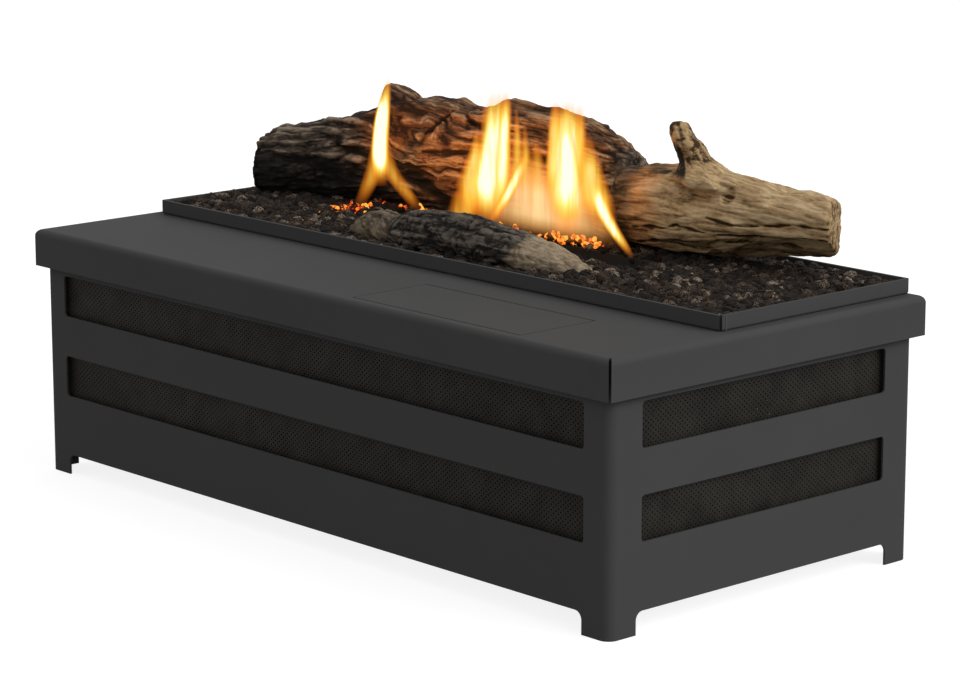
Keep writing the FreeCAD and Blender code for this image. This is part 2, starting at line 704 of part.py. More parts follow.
def filler_neck():
    foot = V(NECK_X, NECK_Y, TANK_TOP)
    bore = NECK_RADIUS - NECK_WALL
    flange = hexagon(NECK_FLANGE_FLATS, foot, ALONG_Z, SHEET)
    pipe = cylinder(NECK_RADIUS, foot, ALONG_Z, NECK_HEIGHT)
    return flange.fuse(pipe).cut(cylinder(bore, foot, ALONG_Z, NECK_HEIGHT))


def filler_cap():
    """A quarter-turn cap with an eight-sided grip, closed by its gasket on the neck's rim."""
    low = V(NECK_X, NECK_Y, NECK_TOP - CAP_SKIRT)
    seat = CAP_SKIRT + GASKET_THICKNESS
    grip = polygon_bar(CAP_FLATS, CAP_SIDES, low, ALONG_Z, seat + CAP_CROWN)
    rim = [e for e in grip.Edges if e.CenterOfMass.z > low.z + seat + CAP_CROWN - NEAR]
    grip = grip.makeChamfer(CAP_CHAMFER, rim)
    return grip.cut(cylinder(NECK_RADIUS + CAP_FIT, low, ALONG_Z, seat))


def cap_gasket():
    seat = V(NECK_X, NECK_Y, NECK_TOP)
    return tube(NECK_RADIUS, DIPSTICK_RADIUS + PIN_FIT, seat, ALONG_Z, GASKET_THICKNESS)


def dipstick():
    """The level rod under the cap, with a flat blade at its foot."""
    top = NECK_TOP + GASKET_THICKNESS
    low = BASE_TOP + SHEET + DIPSTICK_FLOOR_GAP
    stem = cylinder(DIPSTICK_RADIUS, V(NECK_X, NECK_Y, low), ALONG_Z, top - low)
    wide = BLADE_WIDTH / 2
    thin = BLADE_THICKNESS / 2
    blade = box(NECK_X - wide, NECK_X + wide, NECK_Y - thin, NECK_Y + thin, low, low + BLADE_LENGTH)
    return stem.fuse(blade)


# Burner


def burner_trough():
    """A deep narrow trough for fuel and wick, with foot tabs at its ends, welded to the base plate."""
    outer = box(-TROUGH_HALF_X, TROUGH_HALF_X, TROUGH_Y0, TROUGH_Y1, BASE_TOP, TROUGH_TOP - SHEET)
    half = TROUGH_HALF_X - SHEET
    hollow = box(-half, half, TROUGH_Y0 + SHEET, TROUGH_Y1 - SHEET, BASE_TOP + SHEET, TROUGH_TOP)
    reach = TROUGH_HALF_X + TROUGH_FOOT
    foot = box(-reach, reach, TROUGH_Y0, TROUGH_Y1, BASE_TOP, BASE_TOP + SHEET)
    pipe = cylinder(PIPE_RADIUS + HOLE_CLEARANCE, V(PIPE_X, TROUGH_Y0, PIPE_Z), ALONG_Y, SHEET)
    return outer.cut(hollow).fuse(foot).cut(pipe)


def burner_top():
    plate = box(-TROUGH_HALF_X, TROUGH_HALF_X, TROUGH_Y0, TROUGH_Y1, TROUGH_TOP - SHEET, TROUGH_TOP)
    half_y = MOUTH_WIDTH / 2
    half_x = MOUTH_LENGTH / 2
    mouth = box(-half_x, half_x, BURNER_Y - half_y, BURNER_Y + half_y, TROUGH_TOP - SHEET, TROUGH_TOP)
    return plate.cut(mouth)


def wick_block(z0, z1):
    wall = SHEET + WICK_GAP
    half = TROUGH_HALF_X - wall
    return box(-half, half, TROUGH_Y0 + wall, TROUGH_Y1 - wall, z0, z1)


def wick_pad():
    """The fibre pack, cut back at the front foot so that fuel can run in from the pipe."""
    pack = wick_block(BASE_TOP + SHEET, WICK_TOP)
    x0 = PIPE_X - WICK_INLET
    x1 = PIPE_X + WICK_INLET
    return pack.cut(box(x0, x1, TROUGH_Y0, TROUGH_Y0 + WICK_INLET, BASE_TOP, PIPE_Z + WICK_INLET))


def burner_mouth():
    """The collar that leads the flame up through lid, tray and chips, resting on the tray by its flange."""
    low = LID_TOP - COLLAR_DROP
    high = LID_TOP + COLLAR_RISE
    wall = box(-COLLAR_HALF_X, COLLAR_HALF_X, BURNER_Y - COLLAR_HALF_Y, BURNER_Y + COLLAR_HALF_Y, low, high)
    reach_x = COLLAR_HALF_X + COLLAR_FLANGE
    reach_y = COLLAR_HALF_Y + COLLAR_FLANGE
    flange = box(-reach_x, reach_x, BURNER_Y - reach_y, BURNER_Y + reach_y, TRAY_FLOOR, TRAY_FLOOR + SHEET)
    half_x = MOUTH_LENGTH / 2
    half_y = MOUTH_WIDTH / 2
    return wall.fuse(flange).cut(box(-half_x, half_x, BURNER_Y - half_y, BURNER_Y + half_y, low, high))


def fuel_pipe():
    """The straight link that keeps tank and trough at one fuel level."""
    start = V(PIPE_X, TANK_REAR_Y - PIPE_INTO_WALL, PIPE_Z)
    length = TROUGH_Y0 - TANK_REAR_Y + 2 * PIPE_INTO_WALL
    return tube(PIPE_RADIUS, PIPE_RADIUS - PIPE_WALL, start, ALONG_Y, length)


def pipe_unions():
    at_tank = V(PIPE_X, TANK_REAR_Y, PIPE_Z)
    at_trough = V(PIPE_X, TROUGH_Y0 - UNION_LENGTH, PIPE_Z)
    bore = PIPE_RADIUS + PIN_FIT
    return [nut(UNION_FLATS, start, ALONG_Y, UNION_LENGTH, bore) for start in (at_tank, at_trough)]


# Shutter


def shutter_plate():
    """The plate that slides over the burner's mouth, with a tongue bent down to take the rod."""
    top = SHUTTER_Z + SHEET
    plate = box(-SHUTTER_HALF_X, SHUTTER_HALF_X, SHUTTER_Y0, SHUTTER_Y1, SHUTTER_Z, top)
    x0 = ROD_X - TONGUE_WIDTH / 2
    x1 = ROD_X + TONGUE_WIDTH / 2
    tongue = box(x0, x1, TAB_Y, SHUTTER_Y0, SHUTTER_Z, top)
    tab = box(x0, x1, TAB_Y, TAB_Y + SHEET, ROD_Z - TAB_BELOW_ROD, top)
    bore = cylinder(ROD_RADIUS + ROD_FIT, V(ROD_X, TAB_Y, ROD_Z), ALONG_Y, SHEET)
    return plate.fuse([tongue, tab]).cut(bore)


def shutter_rails():
    """Channels at both ends of the burner that hold the plate's edges, welded to the trough by a leg."""
    rails = []
    y0 = SHUTTER_Y0 - RAIL_RUN_ON
    y1 = TROUGH_Y1
    low = RAIL_FLOOR
    high = SHUTTER_Z + SHEET + RAIL_GAP + SHEET
    for side in (-1, 1):
        inner = side * TROUGH_HALF_X
        back = side * (SHUTTER_HALF_X + RAIL_SIDE_GAP)
        outer = back + side * SHEET
        shelf = low + SHEET
        roof = high - SHEET
        outline = [
            V(inner, y0, low),
            V(outer, y0, low),
            V(outer, y0, high),
            V(inner, y0, high),
            V(inner, y0, roof),
            V(back, y0, roof),
            V(back, y0, shelf),
            V(inner, y0, shelf),
        ]
        x0, x1 = sorted((inner, inner + side * SHEET))
        leg = box(x0, x1, TROUGH_Y0, TROUGH_Y1, low - RAIL_LEG, shelf)
        rails.append(prism(outline, V(0, y1 - y0, 0)).fuse(leg))
    return rails


def shutter_rod():
    end = TAB_Y + SHEET + ROD_NUT_HEIGHT + ROD_PROUD
    start = KNOB_Y + KNOB_LENGTH / 2
    return cylinder(ROD_RADIUS, V(ROD_X, start, ROD_Z), ALONG_Y, end - start)


def rod_nuts():
    before = V(ROD_X, TAB_Y - ROD_NUT_HEIGHT, ROD_Z)
    behind = V(ROD_X, TAB_Y + SHEET, ROD_Z)
    bore = ROD_RADIUS + PIN_FIT
    return [nut(ROD_NUT_FLATS, start, ALONG_Y, ROD_NUT_HEIGHT, bore) for start in (before, behind)]


def rod_bush():
    """A hexagon bush welded behind the well's rear wall that guides the rod."""
    return nut(BUSH_FLATS, V(ROD_X, WELL_Y1, ROD_Z), ALONG_Y, BUSH_LENGTH, ROD_RADIUS + ROD_FIT)


def shutter_knob():
    """A ten-sided pull with softened rims, bored half through for the rod."""
    start = V(ROD_X, KNOB_Y, ROD_Z)
    knob = polygon_bar(2 * KNOB_RADIUS, KNOB_SIDES, start, ALONG_Y, KNOB_LENGTH)
    rims = [e for e in knob.Edges if not runs_along(e, ALONG_Y)]
    knob = knob.makeChamfer(KNOB_EDGE, rims)
    bore = cylinder(ROD_RADIUS + PIN_FIT, start + ALONG_Y * (KNOB_LENGTH / 2), ALONG_Y, KNOB_LENGTH)
    return knob.cut(bore)


# Heat shield


def heat_shield():
    """An upright sheet between tank and burner, notched for the shutter's tab and holed for the pipe."""
    half = INNER_HALF_X - SHIELD_END_ROOM
    wall = box(-half, half, SHIELD_Y, SHIELD_Y + SHEET, BASE_TOP, SHIELD_TOP)
    foot = box(-half, half, SHIELD_Y, SHIELD_Y + SHIELD_FOOT, BASE_TOP, BASE_TOP + SHEET)
    reach = TONGUE_WIDTH / 2 + SHIELD_NOTCH_ROOM
    notch_z = ROD_Z - TAB_BELOW_ROD - SHIELD_NOTCH_ROOM
    notch = box(ROD_X - reach, ROD_X + reach, SHIELD_Y, SHIELD_Y + SHEET, notch_z, SHIELD_TOP)
    pipe = cylinder(PIPE_RADIUS + SHIELD_PIPE_ROOM, V(PIPE_X, SHIELD_Y, PIPE_Z), ALONG_Y, SHIELD_FOOT)
    return wall.fuse(foot).cut([notch, pipe])


# Tray, chips and logs


def ember_tray():
    """A shallow folded pan on the lid, with open corners and a mouth for the flame."""
    rim_top = LID_TOP + TRAY_RIM_HEIGHT
    pan = box(-TRAY_HALF_X, TRAY_HALF_X, TRAY_Y0, TRAY_Y1, LID_TOP, rim_top)
    low = [e for e in pan.Edges if e.CenterOfMass.z < LID_TOP + NEAR]
    pan = pan.makeFillet(TRAY_BEND, low)
    half = TRAY_HALF_X - TRAY_RIM
    hollow = box(-half, half, TRAY_Y0 + TRAY_RIM, TRAY_Y1 - TRAY_RIM, TRAY_FLOOR, rim_top)
    mouth_x = COLLAR_HALF_X + BED_GAP
    mouth_y = COLLAR_HALF_Y + BED_GAP
    mouth = box(-mouth_x, mouth_x, BURNER_Y - mouth_y, BURNER_Y + mouth_y, LID_TOP, rim_top)
    slits = corner_slits(TRAY_HALF_X, TRAY_Y0, TRAY_Y1, TRAY_RIM, LID_TOP, rim_top)
    return pan.cut([hollow, mouth] + slits)


def chip_bed():
    """The lower layer of chips as one bed round the burner's mouth."""
    bed = box(-BED_HALF_X, BED_HALF_X, BED_Y0, BED_Y1, TRAY_FLOOR, BED_TOP)
    wall_x = COLLAR_HALF_X + BED_GAP
    wall_y = COLLAR_HALF_Y + BED_GAP
    well = box(-wall_x, wall_x, BURNER_Y - wall_y, BURNER_Y + wall_y, TRAY_FLOOR, BED_TOP)
    step_x = wall_x + COLLAR_FLANGE
    step_y = wall_y + COLLAR_FLANGE
    step_top = TRAY_FLOOR + SHEET + BED_GAP
    step = box(-step_x, step_x, BURNER_Y - step_y, BURNER_Y + step_y, TRAY_FLOOR, step_top)
    return bed.cut([well, step])


def faceted_solid(rings):
    """A closed solid through rings of points, each with as many points, with flat facets between them."""
    faces = [Part.Face(Part.makePolygon(ring + ring[:1])) for ring in (rings[0], rings[-1])]
    for near, far in zip(rings[:-1], rings[1:]):
        for i in range(len(near)):
            j = (i + 1) % len(near)
            for corners in ([near[i], near[j], far[j]], [near[i], far[j], far[i]]):
                faces.append(Part.Face(Part.makePolygon(corners + corners[:1])))
    solid = Part.Solid(Part.Shell(faces))
    if solid.Volume < 0:
        solid.reverse()
    return solid


def log_section(place, bottom, top, half_depth, turn):
    """A ring of points across a log, lumpy like bark, with its crown at the top and flat on the chips."""
    middle = (bottom - LOG_SINK + top) / 2
    half_height = (top - bottom + LOG_SINK) / 2
    crown = 1 - BARK_RELIEF * (1 + math.sin(BARK_RIDGES * math.pi / 2 + turn))
    points = []
    for i in range(LOG_SIDES):
        angle = 2 * math.pi * i / LOG_SIDES
        swell = 1 - BARK_RELIEF * (1 + math.sin(BARK_RIDGES * angle + turn))
        y = place.y + half_depth * swell * math.cos(angle)
        z = middle + half_height * math.sin(angle) * (swell / crown if angle < math.pi else 1)
        points.append(V(place.x, y, max(z, BED_TOP)))
    return points


def log_body(start, end, stations):
    """A log along X. Each station gives its share of the length, its middle in Y, half depth, height of its
    underside above the chips and thickness."""
    rings = []
    for i, (share, y, half_depth, lift, thickness) in enumerate(stations):
        x = start + (end - start) * share
        bottom = BED_TOP + lift
        rings.append(log_section(V(x, y, 0), bottom, bottom + thickness, half_depth, BARK_TWIST * i))
    return faceted_solid(rings)


def branch_stub(foot, tip, foot_radius, tip_radius):
    """The tapered stump of a cut branch, given from the burner's line and the top of the chips."""
    def ring(centre, radius):
        turns = [2 * math.pi * i / STUB_SIDES for i in range(STUB_SIDES)]
        middle = V(*centre) + V(0, BURNER_Y, BED_TOP)
        return [middle + V(radius * math.cos(t), radius * math.sin(t), 0) for t in turns]
    return faceted_solid([ring(foot, foot_radius), ring(tip, tip_radius)])


def at_burner(stations):
    """Stations with their middles measured from the middle of the casing."""
    return [(s, BURNER_Y + y, half, lift, thick) for s, y, half, lift, thick in stations]


LOG_SPANS = (
    (-BED_HALF_X + REAR_LOG_FROM_LEFT, REAR_LOG_END, at_burner(REAR_LOG)),
    (REAR_LOG_END + LOG_JOIN_GAP, BED_HALF_X - RIGHT_LOG_FROM_RIGHT, at_burner(RIGHT_LOG)),
    (FRONT_LOG_START, FRONT_LOG_END, at_burner(FRONT_LOG)),
    (SMALL_LOG_START, FRONT_LOG_START - LOG_JOIN_GAP, at_burner(SMALL_LOG)),
)


def under_a_log(x, y):
    """True where a loose chip would touch a log."""
    for start, end, stations in LOG_SPANS:
        share = (x - start) / (end - start)
        edge = LOG_CLEAR / (end - start)
        if share < -edge or share > 1 + edge:
            continue
        nearest = sorted(stations, key=lambda s: abs(s[0] - share))[:2]
        if any(abs(y - s[1]) < s[2] + LOG_CLEAR for s in nearest):
            return True
    return False


def loose_chip(x, y, draw):
    """One broken lava chip: an uneven five-sided lump, flat underneath."""
    twist = draw.uniform(0, 2 * math.pi)
    height = draw.uniform(CHIP_LEAST_HEIGHT, CHIP_MOST_HEIGHT)
    low = []
    high = []
    for i in range(CHIP_SIDES):
        angle = 2 * math.pi * i / CHIP_SIDES + twist
        out = V(math.cos(angle), math.sin(angle), 0) * (1 + draw.uniform(-CHIP_UNEVEN, CHIP_UNEVEN))
        low.append(V(x, y, BED_TOP) + out * CHIP_RADIUS)
        high.append(V(x, y, BED_TOP + height) + out * CHIP_TOP_RADIUS)
    return faceted_solid([low, high])


def loose_chips():
    """The upper layer: single chips scattered wherever no log or flame mouth is."""
    chips = []
    draw = random.Random(CHIP_SEED)
    room = CHIP_RADIUS * (1 + CHIP_UNEVEN) + BED_GAP
    columns = int((BED_HALF_X - room) / CHIP_PITCH)
    rows = int((BED_Y1 - BED_Y0 - 2 * room) / CHIP_PITCH) + 1
    stray = CHIP_PITCH / 2 - room
    for column in range(-columns, columns + 1):
        for row in range(rows):
            x = column * CHIP_PITCH + draw.uniform(-stray, stray)
            y = BED_Y0 + room + row * CHIP_PITCH + draw.uniform(-stray, stray)
            in_mouth = abs(x) < COLLAR_HALF_X + room and abs(y - BURNER_Y) < COLLAR_HALF_Y + room
            inside = abs(x) < BED_HALF_X - room and BED_Y0 + room < y < BED_Y1 - room
            if inside and not in_mouth and not under_a_log(x, y):
                chips.append(loose_chip(x, y, draw))
    return chips


# Assembly

parts["body_wrapper"] = body_wrapper()
parts["rear_panel"] = rear_panel()
parts["lid"] = lid()
parts["lid_clips"] = Part.Compound(lid_clips())
mesh_sets()
parts["corner_brackets"] = Part.Compound(corner_brackets())
parts["base_plate"] = base_plate()
parts["hatch"] = hatch()
parts["hatch_pins"] = Part.Compound(hatch_pins())
parts["hinge_plates"] = Part.Compound(hinge_plates())
parts["filler_well"] = filler_well()
parts["tank_pan"] = tank_pan()
parts["tank_cover"] = tank_cover()
parts["tank_screws"] = Part.Compound([screw(s, ALONG_Z, 2 * SHEET) for s in tank_screw_seats()])
parts["filler_neck"] = filler_neck()
parts["filler_cap"] = filler_cap()
parts["cap_gasket"] = cap_gasket()
parts["dipstick"] = dipstick()
parts["fuel_pipe"] = fuel_pipe()
parts["pipe_unions"] = Part.Compound(pipe_unions())
parts["heat_shield"] = heat_shield()
parts["burner_trough"] = burner_trough()
parts["burner_top"] = burner_top()
parts["wick_pad"] = wick_pad()
parts["wick_gauze"] = wick_block(WICK_TOP, WICK_TOP + GAUZE_THICKNESS)
parts["burner_mouth"] = burner_mouth()
parts["shutter_plate"] = shutter_plate()
parts["shutter_rails"] = Part.Compound(shutter_rails())
parts["shutter_rod"] = shutter_rod()
parts["rod_nuts"] = Part.Compound(rod_nuts())
parts["rod_bush"] = rod_bush()
parts["shutter_knob"] = shutter_knob()
parts["ember_tray"] = ember_tray()
parts["chip_bed"] = chip_bed()
parts["loose_chips"] = Part.Compound(loose_chips())
rear_span, right_span, front_span, small_span = LOG_SPANS
knob = branch_stub(KNOB_FOOT, KNOB_TIP, KNOB_FOOT_RADIUS, KNOB_TIP_RADIUS)
branch = branch_stub(BRANCH_FOOT, BRANCH_TIP, BRANCH_FOOT_RADIUS, BRANCH_TIP_RADIUS)
parts["rear_log"] = log_body(*rear_span).fuse(knob)
parts["right_log"] = log_body(*right_span).fuse(branch)
parts["front_log"] = log_body(*front_span)
parts["small_log"] = log_body(*small_span)

os.makedirs("parts", exist_ok=True)
for node, shape in parts.items():
    if not shape.isValid():
        raise ValueError(node + " is not a valid solid")
    shape.exportStep("parts/" + node + ".step")
print(len(parts), "nodes,", sum(len(shape.Solids) for shape in parts.values()), "solids")
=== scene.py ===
"""Looks of the bioethanol fire basket: powder-coated casing, expanded mesh, lava chips, ceramic logs,
embers and flames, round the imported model. Metres, in the model's own frame."""
import bpy
import json
import math
import random
from contextlib import contextmanager
from mathutils import Matrix, Vector, noise


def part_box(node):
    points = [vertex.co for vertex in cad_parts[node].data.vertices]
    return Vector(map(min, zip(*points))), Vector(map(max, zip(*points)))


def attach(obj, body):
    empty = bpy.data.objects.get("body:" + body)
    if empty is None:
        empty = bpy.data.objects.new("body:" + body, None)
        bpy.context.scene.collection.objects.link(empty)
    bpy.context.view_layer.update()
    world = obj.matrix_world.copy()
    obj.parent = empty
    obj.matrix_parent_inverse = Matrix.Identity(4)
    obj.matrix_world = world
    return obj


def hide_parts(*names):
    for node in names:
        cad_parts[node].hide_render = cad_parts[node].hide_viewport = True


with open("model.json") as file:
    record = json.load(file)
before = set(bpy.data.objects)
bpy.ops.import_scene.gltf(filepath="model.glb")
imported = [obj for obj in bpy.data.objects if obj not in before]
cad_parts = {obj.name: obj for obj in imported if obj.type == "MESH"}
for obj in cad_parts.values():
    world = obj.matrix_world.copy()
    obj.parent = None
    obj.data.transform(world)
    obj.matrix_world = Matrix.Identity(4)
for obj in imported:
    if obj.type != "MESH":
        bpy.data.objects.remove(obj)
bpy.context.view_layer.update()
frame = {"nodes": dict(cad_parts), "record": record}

MM = 0.001

# Camera
CAMERA_PLACE = (1.8156, -1.6306, 0.6595)
CAMERA_RIGHT = (0.6734, 0.7393, -0.0009)
CAMERA_UP = (-0.1570, 0.1442, 0.9770)
CAMERA_LENS = 125.77
CAMERA_SENSOR = 36.0
CAMERA_REACH = 100.0

# Lamps and floor
SUN_DIRECTION = (0.52, 0.2, 0.38)
SUN_STRENGTH = 1.95
SUN_ANGLE = math.radians(40)
WORLD_STRENGTH = 0.65
FLOOR_HALF = 40.0
FLOOR_TONE = 0.3
FLOOR_GLOW = 0.84

# Where soot sets in on the burner's steel, upwards and rearwards, where the wick is scorched, and over which
# heights the painted shade low between the chips fades out
SOOT_HEIGHTS = (0.138, 0.166)
SOOT_FROM_FRONT = (0.014, 0.030)
SOOT = (0.010, 0.007, 0.006)
SCORCH_HEIGHTS = (0.150, 0.172)
SHADE_HEIGHTS = (0.197, 0.2045)

# Glow of the fire on what stands round it: place and power of each small lamp
FIRE_COLOUR = (1.0, 0.42, 0.10)
FIRE_RADIUS = 0.02
FIRE_CONE = math.radians(140)
FIRE_AIM = (0.0, 0.85, 0.2)
FIRE_LAMPS = (
    ((-0.146, 0.030, 0.250), 0.3),
    ((-0.045, 0.028, 0.240), 0.55),
    ((-0.012, 0.028, 0.265), 0.55),
    ((0.060, 0.028, 0.260), 0.4),
)

# Expanded mesh
DIAMOND_LENGTH = 4.6 * MM
DIAMOND_HEIGHT = 3.8 * MM
STRAND_HALF = 0.95 * MM

# Dark bead at the tray's front corners, put in as painted shade for the gap of the joint
BEAD_FROM_CORNER = 5.0 * MM
BEAD_WIDTH = 1.3 * MM
BEAD_PROUD = 0.35 * MM
BEAD_ROUND = 0.25 * MM

# Ceramic logs: distance between points, rounds of smoothing, how far bark stands out and how much less it is
# cut on the ends, and the steps in which a log's crest is followed
LOG_VOXEL = {"rear_log": 1.15 * MM, "right_log": 0.9 * MM, "front_log": 0.8 * MM, "small_log": 0.8 * MM}
LOG_MERGE = 0.01 * MM
LOG_ROUNDING = 12
LOG_SWELL = 1.8
LOG_END_CALM = 0.7
LOG_FOOT = 199.5
CREST_STEP = 3.0
CREST_REACH = 5
CREST_CAP = {"rear_log": 300.0, "right_log": 267.0, "front_log": 300.0, "small_log": 300.0}

# Bark of all logs: its noise, what faces the front, and how grooves and cracks waver. Lengths on the logs are
# in millimetres, and places are seen from the front.
BARK_SEED = 2
LUMP_NOISE = (0.9, 2.1, 4)
FRONT_TURN = (0.1, 0.5)
GROOVE_WAVE = 28.0
GROOVE_WIDTH = 0.36
CRACK_WANDER = 0.8
CRACK_WAVE = 9.0
CRACK_TAPER = 0.6
CRUMB_SIZE = 5.0

# Rear log: lip of the bark, fall of the grain, swirl, cracks, crust, knob and hollow. Grooves have a shift, a
# length, a width and a warp. The tables weigh each mark for the depth, the tone, the char and the red. Some
# of the tone and char under the lip, in the hollow and at the foot is painted shade, and the red over the
# middle is painted fire light.
LIP_HEIGHT = 236.5
LIP_WAVER = 5.0
LIP_WAVE = 17.0
GRAIN_FALL_LEFT = 0.22
GRAIN_LEFT = -190.0
GRAIN_FALL_RIGHT = 0.27
GRAIN_RIGHT = -170.0
GRAIN_RUN = 90.0
SWIRL = (-138.0, 262.0)
SWIRL_WAVE = 15.0
SWIRL_DRIFT = 8.0
SWIRL_REACH = (6.0, 36.0)
SWIRL_FORCE = 0.85
REAR_CRACKS = (
    ((-89, 278), (-58, 272.5)),
    ((-128, 250), (-67, 256)),
    ((-110, 283), (-128, 264)),
    ((-156, 239), (-112, 231)),
    ((-215, 247), (-182, 240)),
)
REAR_CRACK_WIDTH = 3.2
REAR_GROOVES = (((0, 0, 0), 150.0, 12.0, 0.4), ((40, 7, 3), 90.0, 6.0, 0.35), ((11, 3, 8), 55.0, 3.0, 0.3))
CRUST_SIZE = 5.5
KNOB = (-168.0, 286.0)
KNOB_REACH = (20.0, 58.0)
KNOB_CALM = 0.6
HOLLOW_MIDDLE = (-131.0, 224.0)
HOLLOW_HALF = (42.0, 9.5)
HOLLOW_SLOPE = -0.4
UNDER_CALM = 0.6
REAR_SWELLINGS = 26.0
REAR_SWELL = 1.6
REAR_DEPTHS = {"under": 3.6, "hollow": 3.2, "split": 3.4, "wide": 2.0, "middle": 1.1, "fine": 0.6}
CRUST_DEPTHS = {"crumbs": 1.5, "middle": 0.8}
REAR_TONES = {
    "under": 0.35, "hollow": 0.5, "split": 1.0, "wide": 0.55, "middle": 0.45, "fine": 0.35, "crust": 0.5,
}
# Char weights; under, hollow and foot also hold painted shade
REAR_CHAR_AND_SHADE = {"under": 0.62, "top_right": 0.2, "hollow": 0.9, "foot": 0.7, "crust": 0.35}
# The knob's red is its own colour; the red over the middle is painted fire light
REAR_RUDDY_AND_FIRE_LIGHT = {"knob": 1.0, "lit": 0.8}

# Rear log's outline: left end, crown of the knob and saddle beside it
REAR_END_REACH = 8.5
REAR_END_TOP_REACH = 4.0
CROWN_FALL = 11.5
SADDLE_MIDDLE = -147.0
SADDLE_HALF = 36.0
SADDLE_LIFT = 7.0

# Right log: flutes, shelf, cracks, knot, grain of the branch and the crust near the fire
RIGHT_GIRTH = 65.0
RIGHT_GROOVES = (((0, 0, 0), 170.0, 15.0, 0.35), ((13, 3, 9), 110.0, 6.5, 0.3), ((5, 21, 2), 70.0, 3.0, 0.3))
SHELF_START = (120.0, 165.0)
SHELF_HEIGHT = 239.5
SHELF_WAVER = 4.0
SHELF_WAVE = 24.0
SHELF_EDGE = 1.2
SHELF_CALM = 0.5
RIGHT_CRACKS = (
    ((172, 236.5), (197, 233.5)),
    ((197, 233.5), (222, 236)),
    ((222, 236), (247, 239.5)),
    ((247, 239.5), (276, 239.5)),
    ((104, 221.5), (139, 225.5)),
    ((140, 226), (148, 229)),
    ((148, 227.5), (171, 225)),
    ((183, 225.5), (243, 229.5)),
    ((243, 229.5), (280, 231.5)),
    ((103, 210), (126, 214)),
    ((128, 214), (157, 210.5)),
    ((187, 220), (208, 223)),
    ((220, 219), (240, 221)),
)
RIGHT_CRACK_WIDTH = 1.8
CRACK_TOP = 246.0
KNOT = (186.0, 252.0)
KNOT_RADIUS = 6.4
TWIG_GRAIN = (6.0, 6.0, 34.0)
TWIG_WIDTH = 0.34
CRUSTED_TOP = 261.0
RIGHT_SWELLINGS = 22.0
RIGHT_SWELL = 2.4
RIGHT_DEPTHS = {"wide": 0.9, "middle": 1.0, "fine": 0.45, "crack": 2.6, "knot": 3.4, "shelf": -1.2}
# The shade tone is painted shade on the log's lower half
RIGHT_TONES = {"wide": 0.2, "middle": 0.3, "fine": 0.3, "crack": 0.9, "knot": 0.5, "shade": 0.22, "sawn": 0.3}
BRANCH_DEPTHS = {"twig": 0.9, "pits": 1.2}
BRANCH_TONES = {"twig": 0.4, "pits": 1.0, "all_over": 0.45}
# Char weights; the mark on the branch's side turned from the lamp is painted shade
RIGHT_CHAR_AND_SHADE = {"crusted": 0.6, "foot": 0.2, "scorched": 0.75, "shaded": 0.8}
# Red of painted fire light near the flames
RIGHT_PAINTED_FIRE_LIGHT = 0.75

# Right log's outline: stretch and cut of its end, underside, fall of its top, slim branch and what lies below
RIGHT_STRETCH = 16.0
RIGHT_CUT_PLACE = (269.8, 109.5, 240.0)
RIGHT_CUT_NORMAL = (0.87, 0.5, 0.0)
UNDERSIDE_LIFT = 8.0
UNDERSIDE_LIFT_MORE = 16.0
TOP_FALL = 4.8
BRANCH_LEAN = -0.5
BRANCH_RISE = (266.0, 275.0)
BRANCH_FOOT = (156.0, 105.5, 256.5)
BRANCH_TIP = (134.5, 102.5, 299.5)
BRANCH_SHIFT = -5.3
BRANCH_SLIM = 0.44
BRANCH_SLIM_LESS = 0.14
BRANCH_SLANT = 5.0
BRANCH_SHORTEN = 3.5
BELOW_BRANCH = (155.0, 250.0)
BELOW_BRANCH_HALF = (40.0, 15.0)
BELOW_BRANCH_SINK = 10.0

# Front log: char cracked into blocks and a bare tip. Small log: fibres on the slant. Both swell at the foot.
BLOCK_SIZE = (17.0, 7.5, 7.5)
BLOCK_WAVE = 12.0
FRONT_GROOVES = (((0, 0, 0), 70.0, 6.0, 0.5), ((3, 9, 4), 36.0, 2.8, 0.4))
FRONT_SWELLINGS = 20.0
FRONT_DEPTHS = {"blocks": 0.7, "along": 1.1, "fine": 0.5, "crumbs": 0.4, "swellings": 1.2}
FRONT_TONES = {"blocks": 0.3, "along": 0.5, "fine": 0.3, "crumbs": 0.25, "all_over": -0.1}
TIP_WAVER = 6.0
TIP_WAVE = 8.0
TIP_CALM = 0.6
TIP_PALE = 0.7
SMALL_SLANT = 0.7
SMALL_GROOVES = (((0, 0, 0), 60.0, 6.5, 0.4), ((5, 5, 5), 34.0, 2.8, 0.3))
SMALL_DEPTHS = {"wide": 1.0, "fine": 0.5, "crumbs": 0.35}
SMALL_TONES = {"wide": 0.4, "fine": 0.3, "crumbs": 0.25}
SMALL_RUDDY = 0.6
SMALL_CHAR = 0.5
FRONT_FOOT = ((204.0, 220.0), 3.0)
SMALL_FOOT = ((202.0, 216.0), 4.0)

# Lumps that chips and embers are copied from: side of the cube, how round and how uneven it gets
LUMP_SIDE = 1.6
LUMP_ROUND = 0.8
LUMP_UNEVEN = 0.22

# Lava chips, in millimetres: their sizes, how they lie, and the height of the heap at the rim, at the left
# end and in the middle, with the run between them
CHIP_SHAPES = 6
CHIP_PITCH = 7.4
CHIP_LEAST = 2.9
CHIP_MOST = 5.4
CHIP_SQUASH = ((0.8, 1.25), (0.8, 1.25), (0.65, 1.0))
CHIP_SEED = 11
CHIP_SHIFT = 2.0
CHIP_BEDDED = 0.8
CHIP_SUNK = (0.5, 1.0)
CHIP_CLEAR = 0.9
HEAP_AT_RIM = 197.6
HEAP_AT_LEFT = 202.6
HEAP_MIDDLE = 203.0
HEAP_RUN = 40.0
LEFT_HEAP = (-36.0, -10.0)
MOUTH_FLANGE = 8.0
UNDER_LOG = 0.52
BELOW_LOGS = 170.0

